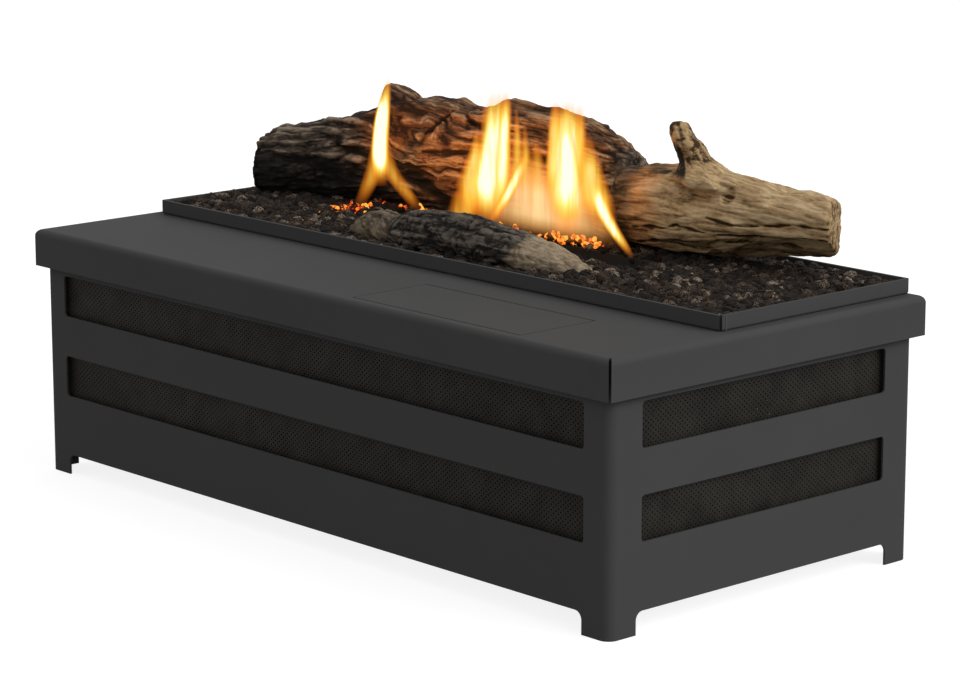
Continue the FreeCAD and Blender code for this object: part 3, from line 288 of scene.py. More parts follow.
# Embers: middle of each patch, its reach along X and Y, and how many lie there
EMBER_PATCHES = (
    ((-176.0, 44.0), (13.0, 15.0), 46),
    ((-158.0, 79.0), (36.0, 3.0), 10),
    ((-126.0, 80.0), (14.0, 4.0), 18),
    ((-30.0, 77.0), (60.0, 2.5), 24),
    ((36.0, 75.5), (18.0, 3.0), 50),
    ((54.0, 79.0), (14.0, 4.0), 56),
    ((68.0, 32.5), (12.0, 4.0), 34),
)
EMBER_LEAST = 1.2
EMBER_MOST = 2.9
EMBER_HEIGHTS = (200.5, 205.0)
EMBER_SQUASH = ((0.9, 2.4), (0.35, 0.8), (0.3, 0.7))
EMBER_SEED = 5

# Flames: how hot each tongue burns, and stations of its height, its middle along the burner and its half
# width in millimetres. The sheets stand on the slant across the burner's slot.
TONGUES = (
    (1.5, ((226, -150, 6.5), (241, -150, 7.2), (255, -150, 7.4),
           (274, -148, 6.8), (294, -144, 5), (317, -138, 1.5))),
    (0.42, ((203, -178, 5), (215, -169, 6.5), (228, -161, 7.5), (243, -155, 7.5),
            (262, -151, 6.5), (284, -148, 4))),
    (0.42, ((203, -104, 5), (214, -116, 6.5), (227, -130, 7.5), (241, -142, 7.5),
            (262, -149, 6.5), (284, -148, 4))),
    (1.0, ((208, -24, 10), (224, -24, 15), (242, -26, 17), (258, -22, 15),
           (280, -18, 12), (302, -17, 11), (317, -15, 7))),
    (0.9, ((214, -19, 4), (235, -11, 6.5), (257, -9, 6.5), (280, -8, 5.6), (301, -6, 4.6), (317, -5, 1.5))),
    (0.62, ((206, -40, 8), (222, -42, 13), (238, -44, 13), (252, -41, 9), (268, -39, 4.5), (284, -37, 1))),
    (0.85, ((210, -28, 3), (229, -9.5, 5), (246, 4, 5.4), (258, 12, 4.6), (270, 19, 1.2))),
    (0.5, ((222, 6, 10), (246, 8, 9), (264, 7, 5.5), (284, 6, 3), (304, 5, 0.6))),
    (0.44, ((222, 20, 10), (248, 18, 8), (268, 15.5, 4.4), (292, 14.5, 0.6))),
    (0.4, ((218, 31, 11), (240, 30, 10), (260, 28, 6), (284, 27, 1))),
    (0.95, ((208, 60, 11), (228, 62, 18), (244, 62, 20), (262, 60, 17),
            (284, 60, 14), (304, 60, 12.5), (317, 61, 7))),
    (1.1, ((216, 57, 7), (236, 59, 11), (254, 60, 11), (272, 60, 8), (291, 59, 5), (312, 59, 1.5))),
    (0.8, ((230, 44, 4.5), (254, 45, 6.2), (275, 46, 5.8), (296, 47, 5), (317, 48, 2.4))),
    (0.6, ((242, 72, 6), (268, 73, 6), (290, 74, 5), (317, 75, 2.8))),
    (0.66, ((214, 101, 9), (236, 94, 13), (254, 87, 11.5), (272, 83, 8), (294, 80, 2.5))),
    (0.85, ((202, 129, 2.5), (212, 119, 4.5), (226, 105.5, 6), (240, 95, 7), (254, 88, 6), (274, 81, 2))),
    (0.5, ((203, -58, 8), (214, -54, 13), (226, -49, 13), (242, -43, 5))),
)
HAZE = (
    (0.64, ((207, 34, 76), (222, 32, 80), (239, 26, 70), (266, 22, 46))),
)
FLAME_TURN = math.radians(47.7)
FLAME_CROSSED = (14.0, 30.0)
FLAME_CROSS_HEAT = 0.7
FLAME_MEAN = 0.8
FLAME_SPREAD = 22.0
FLAME_COLUMNS = 10
FLAME_ROWS = 30

# Glow of the flames over their heat, how streaked they are, and where along a tongue it sets in and fades
FLAME_STRENGTH = 1.25
FLAME_STREAKS = (150, 150, 12)
FLAME_LEVEL = 1.05
FLAME_COVER = 1.2
FLAME_FOOT = 0.03
FLAME_RISE = (0.0, 0.36)
FLAME_FALL = (0.62, 1.0)
TONGUE_STREAKED = 1.3
TONGUE_GLOW = (
    (0.0, (0.88, 0.17, 0.012)),
    (0.28, (1.0, 0.32, 0.02)),
    (0.52, (1.0, 0.56, 0.06)),
    (0.78, (1.0, 0.80, 0.24)),
    (1.0, (1.0, 0.95, 0.7)),
)
HAZE_STREAKED = 0.5
HAZE_GLOW = ((0.0, (1.0, 0.38, 0.09)), (0.4, (1.0, 0.52, 0.17)), (1.0, (1.0, 0.82, 0.45)))


# Shader maths


class Value:
    """A socket's value that takes part in Python expressions: each operator adds its Math node."""

    def __init__(self, finish, socket):
        self.finish = finish
        self.socket = socket

    def math(self, operation, *others):
        return self.finish.node("Math", {"operation": operation}, [self, *others])

    def __add__(self, other):
        return self.math("ADD", other)

    def __sub__(self, other):
        return self.math("SUBTRACT", other)

    def __rsub__(self, other):
        return self.finish.node("Math", {"operation": "SUBTRACT"}, [other, self])

    def __mul__(self, other):
        return self.math("MULTIPLY", other)

    def __pow__(self, other):
        return self.math("POWER", other)

    __radd__ = __add__
    __rmul__ = __mul__

    def held(self):
        """The value kept between 0 and 1."""
        return self.math("MAXIMUM", 0.0).math("MINIMUM", 1.0)

    def between(self, low, high):
        """0 at the low value, 1 at the high one, and smooth in between."""
        values = {"Value": self, "From Min": low, "From Max": high}
        return self.finish.node("MapRange", {"interpolation_type": "SMOOTHSTEP"}, values)


class Finish:
    """A procedural material on one Principled shader, whose even values are set on the shader itself."""

    def __init__(self, name, even):
        self.material = bpy.data.materials.new(name)
        self.material.use_nodes = True
        self.tree = self.material.node_tree
        self.shader = self.tree.nodes["Principled BSDF"]
        self.give(even)

    def give(self, values):
        """Sets or links the shader's sockets."""
        for name, value in values.items():
            self.feed(self.shader.inputs[name], value)

    def feed(self, socket, value):
        if isinstance(value, Value):
            self.tree.links.new(value.socket, socket)
        elif socket.type == "RGBA":
            socket.default_value = (*value[:3], 1.0)
        else:
            socket.default_value = value

    def node(self, kind, settings, values, output=0):
        """Adds a node: its settings first, then the values or links of its sockets, by place or by name."""
        made = self.tree.nodes.new("ShaderNode" + kind)
        for name, setting in settings.items():
            if name == "stops":
                self.set_stops(made.color_ramp, setting)
            else:
                setattr(made, name, setting)
        for key, value in values.items() if isinstance(values, dict) else enumerate(values):
            self.feed(made.inputs[key], value)
        return Value(self, made.outputs[output])

    def set_stops(self, ramp, stops):
        while len(ramp.elements) < len(stops):
            ramp.elements.new(1.0)
        for element, (place, colour) in zip(ramp.elements, stops):
            element.position = place
            element.color = (*colour, 1.0)

    def place(self, scale=(1, 1, 1)):
        """Object coordinates, stretched."""
        coords = self.node("TexCoord", {}, {}, output="Object")
        return self.node("Mapping", {}, {"Vector": coords, "Scale": scale})

    def axis(self, place, name):
        """One coordinate of a place."""
        return self.node("SeparateXYZ", {}, {"Vector": place}, output=name)

    def noise(self, place, scale, detail=3.0, roughness=0.5, distortion=0.0):
        values = {"Vector": place, "Scale": scale, "Detail": detail}
        values.update({"Roughness": roughness, "Distortion": distortion})
        return self.node("TexNoise", {}, values)

    def cells(self, place, scale, output=0):
        return self.node("TexVoronoi", {}, {"Vector": place, "Scale": scale}, output)

    def ramp(self, factor, *stops):
        return self.node("ValToRGB", {"stops": stops}, {"Fac": factor})

    def mix(self, factor, first, second):
        return self.node("Mix", {"data_type": "RGBA"}, {0: factor, 6: first, 7: second}, output=2)

    def attribute(self, name):
        """A number that was stored on the piece's points."""
        return self.node("Attribute", {"attribute_name": name}, {}, output="Fac")

    def done(self, colour, roughness, height, distance, strength):
        """Sets the colour, the roughness and the relief, and gives back the material."""
        values = {"Strength": strength, "Distance": distance, "Height": height}
        self.give({"Base Color": colour, "Roughness": roughness, "Normal": self.node("Bump", {}, values)})
        return self.material


# Finishes


def powder_coat():
    """Anthracite powder coat: a fine orange-peel grain with faint clouds."""
    finish = Finish("powder_coat", {"Specular IOR Level": 0.03})
    place = finish.place()
    clouds = finish.noise(place, 14.0, detail=4.0)
    grain = finish.noise(place, 1400.0, detail=2.0)
    specks = finish.noise(place, 3200.0, detail=1.0)
    tone = clouds * 0.25 + specks * 0.5
    colour = finish.ramp(tone, (0.2, (0.051, 0.051, 0.0512)), (0.6, (0.065, 0.065, 0.0652)))
    return finish.done(colour, grain * 0.16 + 0.62, grain + specks * 0.4, 0.12 * MM, 0.5)


def mesh_coat():
    """Thin black-brown coat on the expanded mesh, paler in patches."""
    finish = Finish("mesh_coat", {"Specular IOR Level": 0.08})
    place = finish.place()
    patches = finish.noise(place, 60.0, detail=5.0)
    grain = finish.noise(place, 1800.0)
    colour = finish.ramp(patches, (0.35, (0.0115, 0.0105, 0.0088)), (0.7, (0.023, 0.021, 0.017)))
    return finish.done(colour, grain * 0.2 + 0.5, grain, 0.05 * MM, 0.4)


def brushed_steel(name, dark, pale, roughness=0.3):
    """Bare steel sheet with a brushed grain and faint handling marks, sooty where it meets the flame."""
    finish = Finish(name, {})
    place = finish.place()
    strokes = finish.noise(finish.place((20, 900, 900)), 1.0, detail=5.0, roughness=0.7)
    marks = finish.noise(place, 22.0, detail=6.0, roughness=0.6)
    height = finish.axis(place, "Z")
    from_front = finish.axis(place, "Y")
    soot = (height + marks * 0.008).between(*SOOT_HEIGHTS) * from_front.between(*SOOT_FROM_FRONT)
    metal = finish.ramp(strokes * 0.6 + marks * 0.4, (0.3, dark), (0.7, pale))
    finish.give({"Metallic": 1.0 - soot})
    rough = strokes * 0.18 + marks * 0.12 + soot * 0.4 + (roughness - 0.1)
    return finish.done(finish.mix(soot, metal, SOOT), rough, strokes, 0.03 * MM, 0.35)


def galvanised(name, dark, pale):
    """Dull zinc-coated sheet with its spangle."""
    finish = Finish(name, {"Metallic": 0.3})
    place = finish.place()
    warp = finish.noise(place, 40.0)
    spangle = finish.cells(place, 110.0, output="Color")
    shade = finish.node("SeparateColor", {}, {"Color": spangle})
    colour = finish.ramp(shade * 0.6 + warp * 0.4, (0.2, dark), (0.8, pale))
    return finish.done(colour, shade * 0.2 + 0.38, warp, 0.1 * MM, 0.2)


def brass():
    """Turned brass with a little tarnish."""
    finish = Finish("brass_fitting", {"Metallic": 1.0})
    tarnish = finish.noise(finish.place(), 130.0, detail=6.0, roughness=0.65)
    rings = finish.noise(finish.place((900, 30, 900)), 1.0, detail=3.0)
    colour = finish.ramp(tarnish, (0.35, (0.42, 0.28, 0.11)), (0.65, (0.74, 0.55, 0.25)))
    return finish.done(colour, tarnish * -0.25 + 0.5 + rings * 0.05, rings, 0.02 * MM, 0.3)


def moulded_black(name, tone, roughness):
    """Matt black moulding with a spark-eroded grain."""
    finish = Finish(name, {"Specular IOR Level": 0.4})
    place = finish.place()
    grain = finish.noise(place, 1600.0, detail=2.0)
    scuff = finish.noise(place, 90.0, detail=5.0)
    colour = finish.ramp(scuff, (0.3, [tone] * 3), (0.8, (tone * 1.5, tone * 1.5, tone * 1.48)))
    return finish.done(colour, scuff * 0.15 + grain * 0.1 + (roughness - 0.12), grain, 0.08 * MM, 0.5)


def fibre_wick():
    """White ceramic fibre, scorched brown towards the flame."""
    finish = Finish("wick_fibre", {"Specular IOR Level": 0.1})
    strands = finish.noise(finish.place((300, 1200, 1200)), 1.0, detail=6.0, roughness=0.7)
    height = finish.axis(finish.place(), "Z")
    scorch = (height + strands * 0.006).between(*SCORCH_HEIGHTS)
    clean = finish.ramp(strands, (0.3, (0.62, 0.6, 0.56)), (0.7, (0.86, 0.85, 0.82)))
    return finish.done(finish.mix(scorch, clean, (0.17, 0.12, 0.08)), 0.95, strands, 0.6 * MM, 0.8)


def lava():
    """Dull porous lava, each chip in its own brown or grey, dark in its pores and with painted shade low down
    between the chips.
    """
    finish = Finish("lava_chips", {"Specular IOR Level": 0.2})
    place = finish.place()
    pores = finish.cells(place, 900.0)
    grain = finish.noise(place, 420.0, detail=6.0, roughness=0.65)
    tint = finish.attribute("tint")
    stone = finish.ramp(
        tint,
        (0.0, (0.008, 0.006, 0.0048)),
        (0.4, (0.021, 0.0135, 0.009)),
        (0.65, (0.046, 0.032, 0.023)),
        (0.85, (0.080, 0.050, 0.031)),
        (1.0, (0.27, 0.21, 0.16)),
    )
    height = finish.axis(place, "Z")
    # Dark pores, and painted shade: nearly black low down between the chips, where their shade falls
    pits = (grain * 0.7 + pores * 0.5).between(0.46, 0.74) * (height + grain * 0.004).between(*SHADE_HEIGHTS)
    colour = finish.mix(pits, (0.003, 0.0023, 0.0018), stone)
    return finish.done(colour, grain * 0.15 + 0.82, grain + pores * 0.6, 1.3 * MM, 0.9)


def log_finish(name, plain, ruddy, sooty):
    """Hand-painted ceramic: dark in its grooves and pale on its ridges, ruddy in places and with painted fire
    light near the flames, and sooty where burnt. The groove and char marks also carry painted shade in
    hollows, under the bark's lip, low down and on sides turned from the lamp. Each of the three paints has a
    tone for grooves, flanks and ridges."""
    finish = Finish(name, {"Specular IOR Level": 0.12})
    place = finish.place()
    depth = finish.attribute("groove")
    fibres = finish.noise(finish.place((50, 620, 620)), 1.0, detail=7.0, roughness=0.68)
    blotches = finish.noise(place, 38.0, detail=6.0, roughness=0.62)
    crumbs = finish.noise(place, 240.0, detail=5.0, roughness=0.7)
    grain = finish.noise(place, 1100.0, detail=4.0, roughness=0.7)
    # The groove mark darkens the paint, both as grooves and as painted shade
    worn = (fibres * 0.75 + blotches * 0.4 + crumbs * 0.35 - depth * 0.6 + 0.02).held()
    paints = (plain, ruddy, sooty)
    tones = [finish.ramp(worn, (0.2, low), (0.48, flank), (0.85, high)) for low, flank, high in paints]
    # The red mark holds the logs' own ruddy colour and painted fire light near the flames
    warm = (finish.attribute("ruddy") + (blotches - 0.5) * 0.6).between(0.2, 0.8)
    # The char mark holds real char and painted shade
    burnt = (finish.attribute("char") + (blotches - 0.5) * 0.7).between(0.25, 0.75)
    colour = finish.mix(burnt, finish.mix(warm, tones[0], tones[1]), tones[2])
    return finish.done(colour, grain * 0.2 + 0.74, fibres * 1.0 + crumbs * 0.5 + grain * 0.3, 1.0 * MM, 0.8)


def glowing_ember():
    """Char with veins that glow from red to yellow."""
    finish = Finish("glowing_ember", {"Specular IOR Level": 0.1, "Emission Strength": 1.1})
    place = finish.place()
    heat = finish.noise(place, 300.0, detail=4.0, roughness=0.6) + (finish.attribute("tint") - 0.5) * 0.55
    glow = (
        (0.36, (0.0, 0.0, 0.0)),
        (0.46, (0.26, 0.012, 0.0)),
        (0.56, (1.0, 0.13, 0.008)),
        (0.74, (1.0, 0.50, 0.07)),
    )
    finish.give({"Emission Color": finish.ramp(heat, *glow)})
    colour = finish.ramp(heat, (0.3, (0.015, 0.012, 0.01)), (0.7, (0.1, 0.03, 0.01)))
    return finish.done(colour, 0.9, heat, 0.6 * MM, 0.6)


def flame(name, glow, streaked):
    """Burning vapour: clear at its foot and edges, with a glow that follows its heat in upright streaks."""
    even = {"Base Color": (0, 0, 0), "Specular IOR Level": 0.0, "Roughness": 1.0}
    finish = Finish(name, even | {"Emission Strength": FLAME_STRENGTH})
    spot = finish.node("UVMap", {}, {})
    across = finish.axis(spot, "X")
    along = finish.axis(spot, "Y")
    streaks = finish.noise(finish.place(FLAME_STREAKS), 1.0, detail=3.0, distortion=0.5)
    edge = (across * 2.0 - 1.0).math("ABSOLUTE")
    body = (1.0 - edge ** 2.0) ** 1.2
    rise = along.between(*FLAME_RISE)
    fall = 1.0 - along.between(*FLAME_FALL)
    shape = body * (rise * (1 - FLAME_FOOT) + FLAME_FOOT) * fall
    heat = shape * finish.attribute("burn") * ((streaks - 0.5) * streaked + FLAME_LEVEL)
    finish.give({
        "Emission Color": finish.ramp(heat, *glow),
        "Alpha": (heat * FLAME_COVER).held(),
    })
    finish.material.cycles.emission_sampling = "NONE"
    return finish.material


# Modelling helpers


def alone(piece):
    """Selects one piece and makes it the active one."""
    bpy.ops.object.select_all(action="DESELECT")
    piece.select_set(True)
    bpy.context.view_layer.objects.active = piece


@contextmanager
def editing(piece, everything=True):
    """Edit mode on one piece alone, with all of it selected or with what was selected before."""
    alone(piece)
    bpy.ops.object.mode_set(mode="EDIT")
    if everything:
        bpy.ops.mesh.select_all(action="SELECT")
    yield
    bpy.ops.object.mode_set(mode="OBJECT")


def linked(name, data):
    """An object with the given data, in the scene."""
    made = bpy.data.objects.new(name, data)
    bpy.context.collection.objects.link(made)
    return made


def aimed(name, lamp, direction, track):
    """A lamp in the scene, turned so that one of its axes lies along a direction."""
    made = linked(name, lamp)
    made.rotation_mode = "QUATERNION"
    made.rotation_quaternion = Vector(direction).to_track_quat(track, "Y")
    return made


def named(name):
    """Names the piece that was just added, and its mesh."""
    piece = bpy.context.object
    piece.name = name
    piece.data.name = name
    return piece


def finish_with(piece, kind, **settings):
    """Adds a modifier and applies it."""
    alone(piece)
    modifier = piece.modifiers.new(kind.lower(), kind)
    for name, setting in settings.items():
        setattr(modifier, name, setting)
    bpy.ops.object.modifier_apply(modifier=modifier.name)


def paint(piece, material):
    """Gives every slot of a piece one finish."""
    if not piece.material_slots:
        piece.data.materials.append(material)
    for slot in piece.material_slots:
        slot.material = material


# Expanded mesh


def expanded_mesh(wall):
    """A sheet of diamonds in the place of a wall's plain mesh panel: a grid whose squares are poked, so that
    the pairs of triangles across its old edges make diamonds, each then cut out to leave strands."""
    low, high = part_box("mesh_" + wall)
    size = high - low
    middle = (low + high) / 2
    faces_y = size.y < size.x
    length = size.x if faces_y else size.y
    columns = round(length / DIAMOND_LENGTH)
    rows = round(size.z / DIAMOND_HEIGHT)
    bpy.ops.mesh.primitive_grid_add(x_subdivisions=columns, y_subdivisions=rows, size=1)
    sheet = named("expanded_mesh_" + wall)
    corners = len(sheet.data.vertices)
    with editing(sheet):
        bpy.ops.transform.resize(value=(length, size.z, 1))
        bpy.ops.mesh.poke()
    half_x = length / 2 - STRAND_HALF
    half_y = size.z / 2 - STRAND_HALF
    mesh = sheet.data
    for group in (mesh.polygons, mesh.vertices, mesh.edges):
        group.foreach_set("select", [False] * len(group))
    for edge in mesh.edges:
        ends = edge.vertices
        middle_point = (mesh.vertices[ends[0]].co + mesh.vertices[ends[1]].co) / 2
        inside = abs(middle_point.x) < half_x and abs(middle_point.y) < half_y
        edge.select = inside and max(ends) < corners
    with editing(sheet, everything=False):
        bpy.ops.mesh.select_mode(type="EDGE")
        bpy.ops.mesh.dissolve_edges(use_verts=False)
        bpy.ops.mesh.select_mode(type="FACE")
        bpy.ops.mesh.select_all(action="SELECT")
        bpy.ops.mesh.inset(use_individual=True, thickness=STRAND_HALF)
        bpy.ops.mesh.delete(type="FACE")
    turn = Matrix.Rotation(math.pi / 2, 4, "X")
    if not faces_y:
        turn = Matrix.Rotation(math.pi / 2, 4, "Z") @ turn
    mesh.transform(Matrix.Translation(middle) @ turn)
    finish_with(sheet, "SOLIDIFY", thickness=min(size), offset=0.0)
    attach(sheet, "casing")
    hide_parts("mesh_" + wall)
    return sheet


# Tray corners


def corner_shade_bead(side):
    """A thin rounded dark bead up the corner where the tray's front wall meets its end wall, put in as
    painted shade for the narrow gap of the joint.
    """
    low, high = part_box("ember_tray")
    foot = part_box("lid")[1].z
    wall = high.x if side == "right" else low.x
    height = high.z - foot - BEAD_ROUND
    bpy.ops.mesh.primitive_cube_add(size=1)
    bead = named("corner_shade_bead_" + side)
    with editing(bead):
        bpy.ops.transform.resize(value=(2 * BEAD_PROUD, BEAD_WIDTH, height))
        bpy.ops.transform.translate(value=(wall, low.y + BEAD_FROM_CORNER, foot + height / 2))
        bpy.ops.mesh.bevel(offset=BEAD_ROUND, segments=2, affect="EDGES")
    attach(bead, "casing")
    return bead


# Ceramic logs


def log_blank(node):
    """A copy of a log's plain solid with an even net of points, rounded so that bark can be carved into it.
    The right log first gets a longer end, sawn off on the slant."""
    mesh = frame["nodes"][node].data.copy()
    blank = linked(node + "_carved", mesh)
    mesh.name = blank.name
    with editing(blank):
        bpy.ops.mesh.remove_doubles(threshold=LOG_MERGE)
    if node == "right_log":
        for point in mesh.vertices:
            point.co.x += RIGHT_STRETCH * MM * ease(point.co.x / MM, 232, 268)
        with editing(blank):
            place = Vector(RIGHT_CUT_PLACE) * MM
            bpy.ops.mesh.bisect(plane_co=place, plane_no=RIGHT_CUT_NORMAL, use_fill=True, clear_outer=True)
    finish_with(blank, "REMESH", mode="VOXEL", voxel_size=LOG_VOXEL[node])
    finish_with(blank, "SMOOTH", factor=0.5, iterations=LOG_ROUNDING)
    return blank


def crest_line(points, cap):
    """The height of a log's top along X, branches left out above a cap, as a function of X in millimetres."""
    tops = {}
    for point in points:
        step = round(point.x / CREST_STEP)
        tops[step] = max(tops.get(step, 0.0), min(point.z, cap))

    def around(step):
        near = range(step - CREST_REACH, step + CREST_REACH + 1)
        found = [tops[n] for n in near if n in tops]
        return sum(found) / len(found)

    means = {step: around(step) for step in tops}

    def height(x):
        before = math.floor(x / CREST_STEP)
        share = x / CREST_STEP - before
        low = means.get(before, means.get(before + 1))
        high = means.get(before + 1, low)
        return low + (high - low) * share

    return height


def ease(value, low, high):
    """0 below the low value, 1 above the high one, and smooth in between."""
    share = min(max((value - low) / (high - low), 0.0), 1.0)
    return share * share * (3 - 2 * share)


def cracks(place, width):
    """1 in the lines where a noise field crosses zero, falling to 0 beside them."""
    return max(0.0, 1.0 - abs(noise.noise(place)) / width)


def lumps(place, size):
    """Uneven swellings between about -1 and 1, of a given size."""
    return noise.fractal(place / size, *LUMP_NOISE)


def grooves(place, flow, kinds):
    """Long wavering grooves across a flow height that they keep to, one depth for each kind."""
    depths = []
    for shift, length, width, warp in kinds:
        start = place + Vector(shift)
        spot = Vector((start.x / length, start.y / width, flow / width))
        depths.append(cracks(spot + noise.noise_vector(start / GROOVE_WAVE) * warp, GROOVE_WIDTH))
    return depths


def near_lines(place, lines, width):
    """1 on straight marks seen from the front, falling to 0 at their half width."""
    wander = CRACK_WANDER * noise.noise(Vector((place.x / CRACK_WAVE, 4.0, 2.0)))
    nearest = 0.0
    for start, end in lines:
        along = Vector((end[0] - start[0], end[1] - start[1]))
        spot = Vector((place.x - start[0], place.z - start[1]))
        share = min(max(spot.dot(along) / along.length_squared, 0.0), 1.0)
        thin = 1 - CRACK_TAPER * abs(2 * share - 1)
        nearest = max(nearest, 1 - abs((spot - along * share).length + wander) / (width * thin))
    return nearest


def front_share(normal):
    """1 on what faces the front, 0 on what faces the rear."""
    return 1 - ease(normal.y, *FRONT_TURN)


def weighed(weights, **marks):
    """The sum of a log's marks, each times its weight."""
    return sum(weights[name] * mark for name, mark in marks.items())


def strongest(weights, **marks):
    """The greatest of a log's marks, each times its weight."""
    return max(weights[name] * mark for name, mark in marks.items())


def rear_bark(place, up, normal):
    """Thick bark over the left end with bare wood under its ragged lip, a ruddy knob whose grain runs down to
    the right over a hollow, and a charred top at the right. Painted shade darkens the hollow, the bare wood
    under the lip and the foot, along with their char, and painted fire light reddens the middle."""
    x, y, z = place
    front = front_share(normal)
    left = 1 - ease(x, -178, -150)
    lip = LIP_HEIGHT + LIP_WAVER * noise.noise(Vector((x / LIP_WAVE, y / LIP_WAVE, 3.1)))
    bark = ease(z, lip - 2, lip + 2.5)
    under = left * (1 - bark) * front
    slope = GRAIN_FALL_LEFT * max(GRAIN_LEFT - x, 0.0)
    slope += GRAIN_FALL_RIGHT * min(max(x - GRAIN_RIGHT, 0.0), GRAIN_RUN)
    flow = z + slope * up
    drift = noise.noise_vector(place / SWIRL_WAVE) * SWIRL_DRIFT
    away = math.hypot(0.6 * (x - SWIRL[0]) + drift.x, z - SWIRL[1] + drift.z)
    whirl = SWIRL_FORCE * (1 - ease(away, *SWIRL_REACH)) * front
    flow += whirl * (SWIRL[1] + 0.8 * away - flow)
    split = near_lines(place, REAR_CRACKS, REAR_CRACK_WIDTH) * front
    wide, middle, fine = grooves(place, flow, REAR_GROOVES)
    crumbs = lumps(Vector((x * 0.25, y * 0.6, flow)), CRUST_SIZE)
    calm = 1 - KNOB_CALM * ease(z, 266, 282) * (1 - ease(x, -150, -120))
    knob = 1 - ease(math.hypot(x - KNOB[0], z - KNOB[1]), *KNOB_REACH)
    crust = left * bark * (1 - knob)
    across = Vector((x - HOLLOW_MIDDLE[0], z - HOLLOW_MIDDLE[1]))
    off = (across.y - HOLLOW_SLOPE * across.x) / HOLLOW_HALF[1]
    hollow = max(0.0, 1 - (across.x / HOLLOW_HALF[0]) ** 2 - off * off) * front
    cut = {"under": under, "hollow": hollow, "split": split, "middle": middle, "fine": fine}
    depth = calm * weighed(REAR_DEPTHS, wide=wide * (1 - UNDER_CALM * under), **cut)
    depth += crust * weighed(CRUST_DEPTHS, crumbs=crumbs, middle=middle)
    depth += REAR_SWELL * lumps(place, REAR_SWELLINGS)
    # The under and hollow marks also darken the tone as painted shade
    tone = weighed(REAR_TONES, wide=wide, crust=crust * crumbs, **cut)
    # Painted fire light: the middle, where the flames stand, is painted ruddy
    lit = ease(x, -170, -110) * (1 - ease(x, 60, 80))
    top_right = ease(x, 10, 50) * ease(up, 0.80, 0.92)
    # Painted shade together with char: darker towards the foot, under the lip and in the hollow
    foot = 1 - ease(up, 0.06, 0.32)
    char = strongest(REAR_CHAR_AND_SHADE, under=under, top_right=top_right, hollow=hollow, foot=foot, crust=crust)
    return depth, tone, strongest(REAR_RUDDY_AND_FIRE_LIGHT, knob=knob, lit=lit), char


def right_bark(place, up, normal):
    """Weathered wood: smooth flutes above a shelf, strata and deep cracks below it, a knot, a sawn end and a
    cut branch. Painted shade darkens its lower half and the side of the branch turned from the lamp, and
    painted fire light reddens its left end near the flames."""
    x, y, z = place
    front = front_share(normal)
    wide, middle, fine = grooves(place, up * RIGHT_GIRTH, RIGHT_GROOVES)
    branch = ease(z, *BRANCH_RISE)
    lean = Vector((x - BRANCH_LEAN * (z - BRANCH_RISE[0]), y, z))
    twig = cracks(Vector([part / size for part, size in zip(lean, TWIG_GRAIN)]), TWIG_WIDTH)
    pits = max(0.0, lumps(place, CRUMB_SIZE))
    gaps = noise.noise(Vector((x / 13.0, 5.0, 2.0)))
    beside = ease(x, *SHELF_START) * front
    beside *= 0.5 + 0.5 * ease(gaps, -0.3, 0.3)
    edge = SHELF_HEIGHT + SHELF_WAVER * noise.noise(Vector((x / SHELF_WAVE, 1.0, 7.0)))
    shelf = ease(z, edge - SHELF_EDGE, edge + SHELF_EDGE)
    crack = 0.0
    if front > 0 and z < CRACK_TOP:
        crack = near_lines(place, RIGHT_CRACKS, RIGHT_CRACK_WIDTH) * front
    away = math.hypot(x - KNOT[0], z - KNOT[1])
    knot = max(0.0, 1 - (away / KNOT_RADIUS) ** 2) * front
    cut = {"wide": wide, "fine": fine, "crack": crack, "knot": knot}
    bark = weighed(RIGHT_DEPTHS, middle=middle * (1 - SHELF_CALM * shelf), shelf=beside * shelf, **cut)
    depth = (1 - branch) * bark + branch * weighed(BRANCH_DEPTHS, twig=twig, pits=pits)
    depth += RIGHT_SWELL * lumps(Vector((x * 0.5, y, z)), RIGHT_SWELLINGS)
    # Painted shade: darker towards the bottom, as the light comes from above
    shade = 1 - ease(up, 0.15, 0.62)
    sawn = ease(normal.x, 0.55, 0.9) * ease(x, 240, 262)
    tone = (1 - branch) * weighed(RIGHT_TONES, middle=middle, shade=shade, sawn=sawn, **cut)
    tone += branch * weighed(BRANCH_TONES, twig=twig, pits=pits, all_over=1.0)
    # Painted fire light: ruddy at the left end, near the flames
    painted_fire_glow = 1 - ease(x, 95, 150)
    crusted = ease(z - CRUSTED_TOP + 0.15 * (x - 95), -5, 5)
    crusted *= 1 - ease(x, 112, 140)
    foot = 1 - ease(up, 0.02, 0.14)
    scorched = 1 - ease(x, 82, 124)
    # Painted shade on the side of the branch's foot turned away from the lamp
    shaded = ease(-normal.x - normal.y, 0.2, 1.1) * ease(z, 254, 266)
    shaded *= (1 - ease(z, 280, 290)) * (1 - ease(x, 146, 166))
    char = strongest(RIGHT_CHAR_AND_SHADE, crusted=crusted, foot=foot, scorched=scorched, shaded=shaded)
    return depth, tone, RIGHT_PAINTED_FIRE_LIGHT * painted_fire_glow, char


def front_bark(place, up, normal):
    """Wood burnt to char, cracked along and across, with a bare tip at its right."""
    spot = Vector([part / size for part, size in zip(place, BLOCK_SIZE)])
    near, second = noise.voronoi(spot + noise.noise_vector(place / BLOCK_WAVE) * 0.9)[0][:2]
    blocks = 1 - ease(second - near, 0.02, 0.22)
    along, fine = grooves(place, place.z, FRONT_GROOVES)
    tip = ease(place.x + TIP_WAVER * noise.noise(place / TIP_WAVE), 62, 92)
    rough = {"fine": fine, "crumbs": lumps(place, CRUMB_SIZE)}
    calm = 1 - TIP_CALM * tip
    swellings = lumps(place, FRONT_SWELLINGS)
    depth = weighed(FRONT_DEPTHS, blocks=blocks * calm, along=along * calm, swellings=swellings, **rough)
    pale = 1 - TIP_PALE * tip
    tone = weighed(FRONT_TONES, blocks=blocks * pale, along=along * pale, all_over=1.0, **rough)
    return depth, tone, 0.0, 1 - tip


